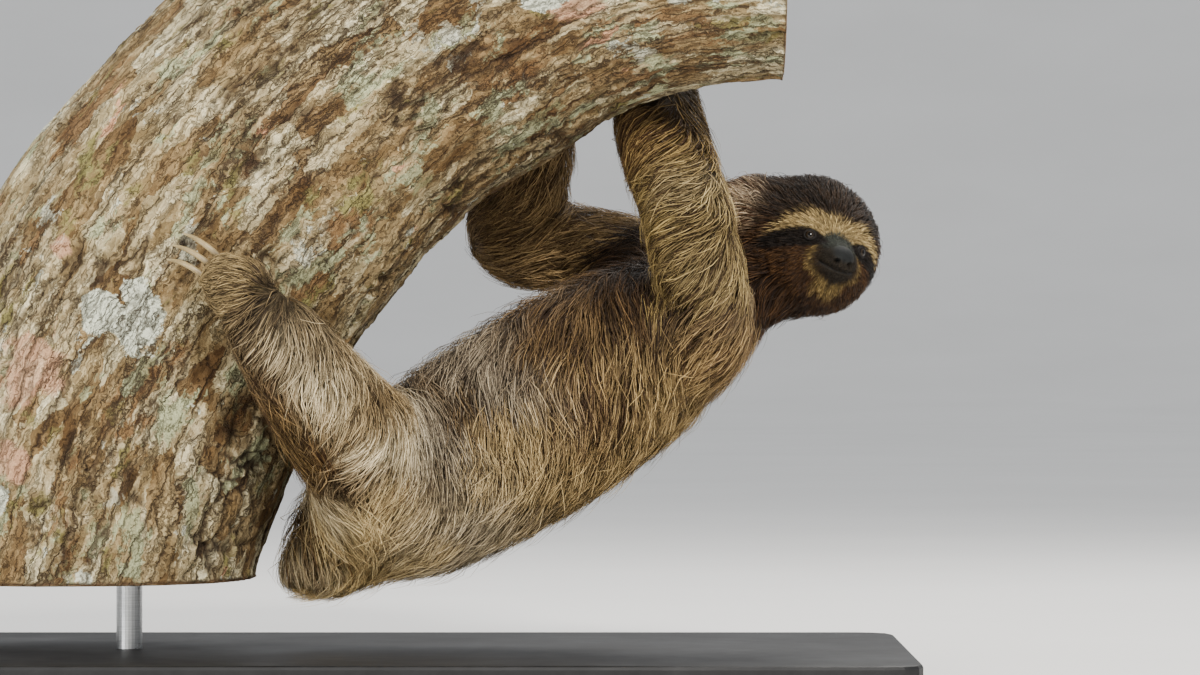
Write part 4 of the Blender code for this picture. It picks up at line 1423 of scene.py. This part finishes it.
def coat_piece(name, groups, labels, roots, look, behind=False):
    """One coat piece from one or two groups of locks (vertices, colours, rings, chosen rows)."""
    chosen = np.concatenate([rows for *_, rows in groups])
    centres = unwrap(roots[chosen], labels[chosen], behind)
    points, colours, triangles, spots = [], [], [], []
    start = used = 0
    for vertices, tones, rings, _ in groups:
        shape, corners = lock_template(rings)
        count, per = vertices.shape[:2]
        offsets = start + per * np.arange(count)
        triangles.append((shape[None] + offsets[:, None, None]).reshape(-1, 3))
        spot = centres[used : used + count, None, None] + (corners[None] - 0.5) * PATCH
        spots.append(spot.reshape(-1, 2))
        points.append(vertices.reshape(-1, 3))
        colours.append(tones.reshape(-1, 3))
        start += count * per
        used += count
    points = np.concatenate(points)
    triangles = np.concatenate(triangles).astype(np.int32)
    mesh = bpy.data.meshes.new(name)
    mesh.vertices.add(len(points))
    mesh.vertices.foreach_set("co", points.astype(np.float32).ravel())
    mesh.loops.add(triangles.size)
    mesh.loops.foreach_set("vertex_index", triangles.ravel())
    mesh.polygons.add(len(triangles))
    mesh.polygons.foreach_set("loop_start", np.arange(0, triangles.size, 3, dtype=np.int32))
    mesh.update(calc_edges=True)
    chart = mesh.uv_layers.new(name="OFBake")
    chart.data.foreach_set("uv", np.concatenate(spots).astype(np.float32).ravel())
    paint(mesh, tone=np.concatenate(colours))
    piece = show(mesh, name, look)
    print(name, len(triangles), "triangles")


def coat_shares(roots, owner):
    """Which locks each piece of the coat takes."""
    nodes = np.array(FLESH)[owner]
    facing = (nodes == "head") & (to_head(roots)[:, 2] > 8 * MM)
    pieces = {
        "coat_face": facing,
        "coat_crown": ((nodes == "head") & ~facing) | (nodes == "neck"),
    }
    for limb, kinds in (("arm", ("upper_arm", "forearm", "hand")), ("leg", ("thigh", "shank", "foot"))):
        for side in ("_near", "_far"):
            pieces[f"coat_{limb}{side}"] = np.isin(nodes, [kind + side for kind in kinds])
    span = cylinder_chart("trunk", roots)[:, 1]
    cuts = np.quantile(span[nodes == "trunk"], np.arange(1, TRUNK_PIECES) / TRUNK_PIECES)
    part = np.searchsorted(cuts, span)
    for number in range(TRUNK_PIECES):
        pieces[f"coat_trunk_{number + 1}"] = np.isin(nodes, ("trunk", "tail")) & (part == number)
    return pieces


def lock_colours(roots, up, owner, random):
    """Each lock's own colour, between the dark and pale hairs of its place."""
    dark, pale, share = hairs(roots, up, owner)
    wisps = 0.40 * clouds(roots, 0.005, 71, 2)
    tint = np.clip(share + wisps + random.normal(0.0, 0.38, len(roots)), 0.0, 1.15)
    return mix(dark, pale, tint) * random.uniform(*LIGHT_RANGE, (len(roots), 1))


def face_means(values, faces):
    """The mean way of each face's corners, one long."""
    return [Vector(values[list(face)].mean(axis=0)).normalized() for face in faces]


def make_coat(mesh, labels, depths, bare, ways, look):
    """Locks all over the skin, in pieces."""
    random = np.random.default_rng(20)
    places, normals = points_of(mesh), normals_of(mesh)
    local = to_head(places)
    length, half, thick = lock_sizes(labels, local)
    on_head = on_nodes(labels, "head")
    soft_length = spread(length, edges_of(mesh), 10)
    length = np.where(on_head & (local[:, 2] > 10 * MM), length, soft_length)
    thick = thick * fall(bare, 0.25, 0.6)
    far_limbs = [node for node in FLESH if node.endswith("_far")]
    thick = np.where(on_nodes(labels, *far_limbs), thick * FAR_SHARE, thick)
    corners, shares = sow(mesh, thick, random)
    roots, depth, length, half = (blended(v, corners, shares) for v in (places, depths, length, half))
    up = unit(blended(normals, corners, shares))
    owner = labels[corners[:, 0]]
    count = len(roots)
    length = length * random.uniform(*LENGTH_RANGE, count)
    half = half * random.uniform(*HALF_RANGE, count)
    colours = lock_colours(roots, up, owner, random)
    tree, faces = surface_tree(mesh)
    face_ways, face_ups = face_means(ways, faces), face_means(normals, faces)
    long = length > LONGEST_SHORT
    strays = (random.random(count) < STRAY_SHARE) & long
    turns = random.normal(0.0, 0.10, count) + strays * random.normal(0.0, 0.45, count)
    turns += 0.50 * clouds(roots, 0.020, 51, 2) * long
    curls = (random.normal(0.0, 0.24, count) + 1.0 * clouds(roots, 0.013, 61, 2)) * long
    rise = random.uniform(*RISE_RANGE, count)
    # Painted shade: locks that rise less lie deeper in the coat and are darkened.
    colours = colours * (0.54 + 0.56 * rise)[:, None]
    heights = depth * rise * np.where(strays, PROUD, 1.0)
    half = np.where(strays, half * STRAY_HALF, half)
    made = []
    for chosen, steps in ((long, LONG_SHARES), (~long, SHORT_SHARES)):
        rows = np.flatnonzero(chosen)
        walk = (roots[rows], length[rows], turns[rows], curls[rows])
        path, ups, lie = follow(tree, face_ways, face_ups, *walk, steps)
        points = shape_locks(path, ups, lie, length[rows], heights[rows], steps, strays[rows], random)
        vertices, tones = lock_arrays(points, ups, half[rows], steps, colours[rows])
        made.append((vertices, tones, len(steps) - 2, rows))
    for name, chosen in coat_shares(roots, owner).items():
        groups = []
        for vertices, tones, rings, rows in made:
            inside = chosen[rows]
            if inside.any():
                groups.append((vertices[inside], tones[inside], rings, rows[inside]))
        coat_piece(name, groups, owner, roots, look, behind=name == "coat_crown")


def dress_skin(mesh, labels, bare, lids, lips):
    """Paints the skin with the coat's markings, darkened as painted shade under the coat, the nose, lips
    and lids, and shows it.
    """
    places = points_of(mesh)
    dark, pale, share = hairs(places, normals_of(mesh), labels)
    short = fall_mm(from_nose(to_head(places)), 40, 90)
    # Painted shade: the skin under the coat is darkened, less so near the nose where the hair is short.
    tone = mix(dark, pale, share * 0.8) * (0.48 + 0.39 * short)[:, None]
    for colour, strength in ((NOSE_SKIN, bare), (LID_SKIN, lids), (LIP_SKIN, lips)):
        tone = mix(tone, colour, strength)
    paint(mesh, tone=tone, bare=bare)
    skin = show(mesh, "skin", skin_look())
    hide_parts(*FLESH)


# ---- Eyes and claws --------------------------------------------------------------------

EYE_BULGE = 0.055  # how far the clear front stands proud, as a share of the eye's radius
CLAW_BITE = 1.0 * MM  # how far a claw's tip goes into the bark
CLAW_SLICES = 12  # a claw's slices along its chord
BACK_SLICES = (4, 8)  # those at its middle, where its arch shows which side is its back
CLAW_IVORY = linear(168, 148, 106)
CLAW_BROWN = linear(92, 70, 45)
CLAW_ROOT = linear(58, 44, 31)
CLAW_TIP = linear(190, 174, 136)


def make_eye(node, sign, look):
    """An eyeball with its clear front standing proud, turned to where the eye looks."""
    low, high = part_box(node)
    middle = (low + high) / 2
    radius = (high - low).x / 2
    gaze = Vector(HEAD_AXES @ np.array((GAZE.x * sign, GAZE.y, GAZE.z))).normalized()
    bm = bmesh.new()
    bmesh.ops.create_uvsphere(bm, u_segments=64, v_segments=48, radius=1.0)
    turn = gaze.to_track_quat("Z", "Y")
    polar = []
    for vertex in bm.verts:
        angle = math.acos(max(-1.0, min(1.0, vertex.co.z)))
        bulge = 1.0 + EYE_BULGE * float(fall(angle, math.radians(14), math.radians(42)))
        polar.append(angle)
        vertex.co = middle + turn @ vertex.co * radius * bulge
    mesh = mesh_of(bm, f"{node}_ball")
    paint(mesh, from_pupil=np.array(polar))
    piece = show(mesh, f"{node}_ball", look)
    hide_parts(node)


def claw_run(places, paw):
    """A claw's tip and length, and how far along it and off its chord each point is."""
    from_paw = np.linalg.norm(places - paw, axis=1)
    root = places[from_paw <= np.quantile(from_paw, 0.06)].mean(axis=0)
    tip = places[np.linalg.norm(places - root, axis=1).argmax()]
    length = np.linalg.norm(tip - root)
    chord = (tip - root) / length
    along = (places - root) @ chord
    return tip, length, chord, along, places - root - along[:, None] * chord


def make_claw(node, look, bark):
    """A smooth finer copy of a claw that hooks into the bark, browner under and at the root."""
    bm = bmesh.new()
    bm.from_mesh(NODES[node].data)
    bmesh.ops.remove_doubles(bm, verts=bm.verts, dist=0.01 * MM)
    bmesh.ops.join_triangles(bm, faces=bm.faces, angle_face_threshold=0.7, angle_shape_threshold=0.7)
    mesh = modified(mesh_of(bm, "claw_source"), "SUBSURF", levels=2, render_levels=2)
    places = points_of(mesh)
    paw = np.array(middle_of(node.removeprefix("claw_")[:-2]))
    tip, length, chord, along, off = claw_run(places, paw)
    share = np.clip(along / length, 0.0, 1.0)
    slices = np.clip((share * CLAW_SLICES).astype(int), 0, CLAW_SLICES - 1)
    arched = [off[slices == number].mean(axis=0) for number in range(*BACK_SLICES)]
    belly = -unit(np.mean(arched, axis=0))
    normals = normals_of(mesh)
    under = ease(normals @ belly, 0.0, 0.8)
    groove = 0.25 * MM * clouds(off + along[:, None] * chord / 30, 1.2 * MM, 61)
    arch = 0.07 * length * np.sin(np.pi * share)
    places = places - belly * arch[:, None]
    ground, _, _, gap = bark.find_nearest(Vector(tip))
    hook = (np.array(ground) - tip) * (1.0 + CLAW_BITE / gap)
    places = places + hook * ease(share, 0.40, 1.0)[:, None]
    place_points(mesh, places + normals * np.minimum(groove, 0.0)[:, None])
    tone = mix(CLAW_IVORY, CLAW_BROWN, under * 0.8)
    tone = mix(tone, CLAW_ROOT, fall(share, 0.05, 0.35) * 0.7)
    tone = mix(tone, CLAW_TIP, ease(share, 0.75, 1.0) * 0.5)
    paint(mesh, tone=tone, grain=np.column_stack((off[:, 0], off[:, 1] + off[:, 2], along)))
    piece = show(mesh, f"{node}_horn", look)
    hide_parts(node)


# ---- Bough -----------------------------------------------------------------------------

# The bough's middle line, as shares of its box along x, y and z.
BOUGH_LINE = [
    (0.150, 0.57, -0.240),
    (0.222, 0.57, -0.005),
    (0.301, 0.57, 0.264),
    (0.471, 0.54, 0.548),
    (0.670, 0.47, 0.717),
    (0.802, 0.40, 0.781),
    (1.011, 0.33, 0.805),
    (1.160, 0.30, 0.806),
]
BARK_RADIUS = 0.140  # the bough's mean radius, which sets the bark's scale round it
END_REACH = 2.5 * MM  # within this of the box's end, the bough is a sawn end
SAWN_DEPTH = 0.3 * MM  # how far a sawn end is cut in from the node
LINE_POINTS = 260  # on the bough's middle line
NEAREST_BATCH = 4000  # points whose nearest place on the line is sought at once


def bough_line():
    """The middle line as many close points."""
    low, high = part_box("perch")
    rough = np.array(low) + np.array(BOUGH_LINE) * np.array(high - low)
    steps = np.linspace(0.0, len(rough) - 1.0, LINE_POINTS)
    line = np.column_stack([np.interp(steps, range(len(rough)), rough[:, axis]) for axis in range(3)])
    for _ in range(300):
        line[1:-1] += (line[2:] + line[:-2] - 2 * line[1:-1]) * 0.25
    return line


def bark_grain(places):
    """Each point's place on the bark: round the bough and along it, and out from its middle."""
    line = bough_line()
    forward = unit(np.gradient(line, axis=0))
    run = np.concatenate(((0.0,), np.cumsum(np.linalg.norm(np.diff(line, axis=0), axis=1))))
    nearest = np.empty(len(places), int)
    for start in range(0, len(places), NEAREST_BATCH):
        part = slice(start, start + NEAREST_BATCH)
        nearest[part] = np.linalg.norm(places[part, None] - line[None], axis=2).argmin(axis=1)
    ahead = forward[nearest]
    away = places - line[nearest]
    along = run[nearest] + np.sum(away * ahead, axis=1)
    away = away - ahead * np.sum(away * ahead, axis=1, keepdims=True)
    beside = unit(np.array((0.0, 1.0, 0.0)) - ahead * ahead[:, 1:2])
    over = np.cross(beside, ahead)
    turn = np.arctan2(np.sum(away * beside, axis=1), np.sum(away * over, axis=1))
    grain = np.column_stack((np.cos(turn) * BARK_RADIUS, np.sin(turn) * BARK_RADIUS, along))
    return grain, np.linalg.norm(away, axis=1)


# Lichen and pink stains on the near side: x, z, half width and half height, in metres.
LICHENS = [
    (-0.199, 0.281, 0.016, 0.020),
    (-0.171, 0.277, 0.021, 0.026),
    (-0.280, 0.140, 0.012, 0.010),
    (0.132, 0.512, 0.016, 0.008),
    (0.268, 0.520, 0.020, 0.010),
]
STAINS = [
    (-0.252, 0.236, 0.028, 0.024),
    (-0.268, 0.168, 0.015, 0.016),
    (0.156, 0.506, 0.022, 0.009),
    (-0.232, 0.330, 0.007, 0.009),
]


def blots(places, rows, seed):
    """Ragged blots on the near side, over 0.5 inside them."""
    strength = np.zeros(len(places))
    ragged = 0.35 * clouds(places, 0.013, seed, 3)
    for x, z, wide, tall in rows:
        away = np.hypot((places[:, 0] - x) / wide, (places[:, 2] - z) / tall)
        strength = np.maximum(strength, 0.5 + 0.5 * (1.0 - away) + ragged)
    return np.clip(strength, 0.0, 1.0) * (places[:, 1] < 0.0)


def bark_relief(grain):
    """The bark cut in from the node: its depth, its cracks and its plates' random numbers."""
    warp = np.column_stack([clouds(grain, 0.030, 70 + axis, 3) for axis in range(3)]) * 12 * MM
    warp += np.column_stack([clouds(grain, 0.007, 75 + axis, 2) for axis in range(3)]) * 3 * MM
    long = (grain + warp) * (1.0, 1.0, 0.34)
    plate, gap = plates(long, 0.019, 3)
    flake, seam = plates(long + 0.5, 0.0090, 13)
    worn = ease(clouds(long, 0.045, 81, 2), -0.15, 0.5)
    ridge = 1.0 - np.abs(clouds(grain * (1.0, 1.0, 0.13) + warp * 0.7, 0.019, 91, 2))
    split = ease(ridge, 0.93, 0.99) * ease(clouds(grain, 0.05, 95), -0.3, 0.2)
    crack = np.maximum(fall(gap, 0.03, 0.15) * worn, split)
    relief = 4.2 * MM * crack + 2.2 * MM * (1.0 - plate)
    relief += 0.9 * MM * (1.0 - flake) + 0.9 * MM * fall(seam, 0.02, 0.22)
    relief += 1.2 * MM * (0.5 + 0.5 * clouds(long, 0.06, 99, 3))
    return relief, crack, plate * 0.7 + flake * 0.3


def make_bough(look):
    """The bough with its bark. Gives a search tree of its surface."""
    mesh = remeshed(joined(["perch"], "bough"), BARK_GRAIN, 0.0)
    edges = edges_of(mesh)
    places = points_of(mesh)
    low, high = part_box("perch")
    normals = normals_of(mesh)
    end_cut = (places[:, 2] < low.z + END_REACH) & (normals[:, 2] < -0.6)
    end_cut |= (places[:, 0] > high.x - END_REACH) & (normals[:, 0] > 0.6)
    sawn = spread(end_cut, edges, 2)
    softened = spread(places, edges, 12)
    places = mix(softened, places, ease(spread(end_cut, edges, 8), 0.02, 0.3))
    place_points(mesh, places)
    grain, out = bark_grain(places)
    relief, crack, plate = bark_relief(grain)
    relief = spread(relief, edges, 1, 0.25)
    relief = relief * (1.0 - sawn) + SAWN_DEPTH * sawn
    place_points(mesh, places - normals_of(mesh) * relief[:, None])
    paint(
        mesh,
        grain=grain,
        crack=np.clip(crack * 0.9, 0.0, 1.0) * (1.0 - sawn),
        plate=plate,
        sawn=ease(sawn, 0.3, 0.8),
        rings=out,
        rind=fall(spread(end_cut, edges, 3), 0.72, 0.97),
        growth=blots(places, LICHENS, 105),
        blush=blots(places, STAINS, 106),
    )
    piece = show(mesh, "bough", look)
    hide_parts("perch")
    print("bough", len(mesh.polygons), "faces")
    return surface_tree(mesh)[0]


# ---- Stage -----------------------------------------------------------------------------

CAMERA = Vector((0.173, -4.0, 0.261))
LENS = 156.0  # in millimetres
FLOOR_FLAT = 12.0  # the floor is flat this far out, and rises to its edge
FLOOR_REACH = 26.0
FLOOR_RISE = 11.0
FLOOR_SIDES = 96
WORLD_LIGHT = 0.82

# Each lamp: its place, its size, its power and its colour.
LAMPS = {
    "key": ((1.2, -3.0, 2.4), 0.6, 195.0, (1.0, 0.96, 0.90)),
    "fill": ((-2.8, -2.2, 0.6), 1.8, 100.0, (0.98, 0.98, 0.96)),
    "rim": ((0.9, 1.2, 2.2), 0.8, 60.0, (1.0, 0.97, 0.92)),
    "low": ((-0.7, -3.2, 0.25), 1.2, 30.0, (1.0, 0.98, 0.90)),
}


def make_floor():
    """A wide pale floor that rises far off."""
    bm = bmesh.new()
    reaches = [0.8, 2.0, 5.0, FLOOR_FLAT]
    reaches += [FLOOR_FLAT + (FLOOR_REACH - FLOOR_FLAT) * i / 12 for i in range(1, 13)]
    turns = [2 * math.pi * i / FLOOR_SIDES for i in range(FLOOR_SIDES)]
    rows = []
    for reach in reaches:
        share = max(0.0, (reach - FLOOR_FLAT) / (FLOOR_REACH - FLOOR_FLAT))
        height = FLOOR_RISE * share**2
        rows.append([bm.verts.new((reach * math.cos(t), reach * math.sin(t), height)) for t in turns])
    centre = bm.verts.new((0.0, 0.0, 0.0))
    for i in range(FLOOR_SIDES):
        after = (i + 1) % FLOOR_SIDES
        bm.faces.new((centre, rows[0][i], rows[0][after]))
        for inner, outer in zip(rows, rows[1:]):
            bm.faces.new((inner[i], outer[i], outer[after], inner[after]))
    mesh = mesh_of(bm, "floor")
    mesh.polygons.foreach_set("use_smooth", np.ones(len(mesh.polygons), bool))
    floor = placed("floor", mesh)
    floor.location.z = -0.2 * MM
    look = Look("floor_paint", Roughness=0.85, Specular_IOR_Level=0.2)
    cloud = look.noise(look.here(), 1.6, 3.0)
    colour = look.ramp(cloud, (0.3, (0.78, 0.77, 0.75)), (0.7, (0.82, 0.81, 0.79)))
    mesh.materials.append(look.wear(Base_Color=colour))


def make_lights():
    """A pale sky and soft lamps that look at the model's middle."""
    world = bpy.data.worlds.new("studio")
    bpy.context.scene.world = world
    world.use_nodes = True
    sky = world.node_tree.nodes["Background"]
    sky.inputs["Color"].default_value = (0.93, 0.96, 1.0, 1.0)
    sky.inputs["Strength"].default_value = WORLD_LIGHT
    middle = (CAD_BOX[0] + CAD_BOX[1]) / 2
    for name, (place, size, power, colour) in LAMPS.items():
        lamp = bpy.data.lights.new(name, "AREA")
        lamp.size = size
        lamp.energy = power
        lamp.color = colour
        holder = placed(name, lamp)
        holder.location = place
        holder.rotation_euler = (middle - Vector(place)).to_track_quat("-Z", "Y").to_euler()


def make_camera():
    """The camera at the photograph's viewing angle."""
    lens = bpy.data.cameras.new("camera")
    lens.lens = LENS
    lens.sensor_width = 36.0
    lens.clip_end = 100.0
    camera = placed("camera", lens)
    camera.location = CAMERA
    camera.rotation_euler = (math.pi / 2, 0.0, 0.0)
    bpy.context.scene.camera = camera


def finish_stand():
    """The stand's nodes stay as they are and get their finish."""
    board, steel = board_look(), steel_look()
    for name, node in NODES.items():
        if name.startswith("stand_"):
            node.data.materials.clear()
            node.data.materials.append(board if name == "stand_base" else steel)


def main():
    """Makes every piece."""
    make_floor()
    make_lights()
    make_camera()
    skin_mesh, labels, depths, bare, lids, lips = make_skin()
    ways = lie_of_hair(skin_mesh, labels)
    make_coat(skin_mesh, labels, depths, bare, ways, coat_look())
    dress_skin(skin_mesh, labels, bare, lids, lips)
    eyes = eye_look()
    make_eye("eye_left", 1, eyes)
    make_eye("eye_right", -1, eyes)
    bark = make_bough(bark_look())
    horn = claw_look()
    for name in sorted(NODES):
        if name.startswith("claw_"):
            make_claw(name, horn, bark)
    finish_stand()


main()
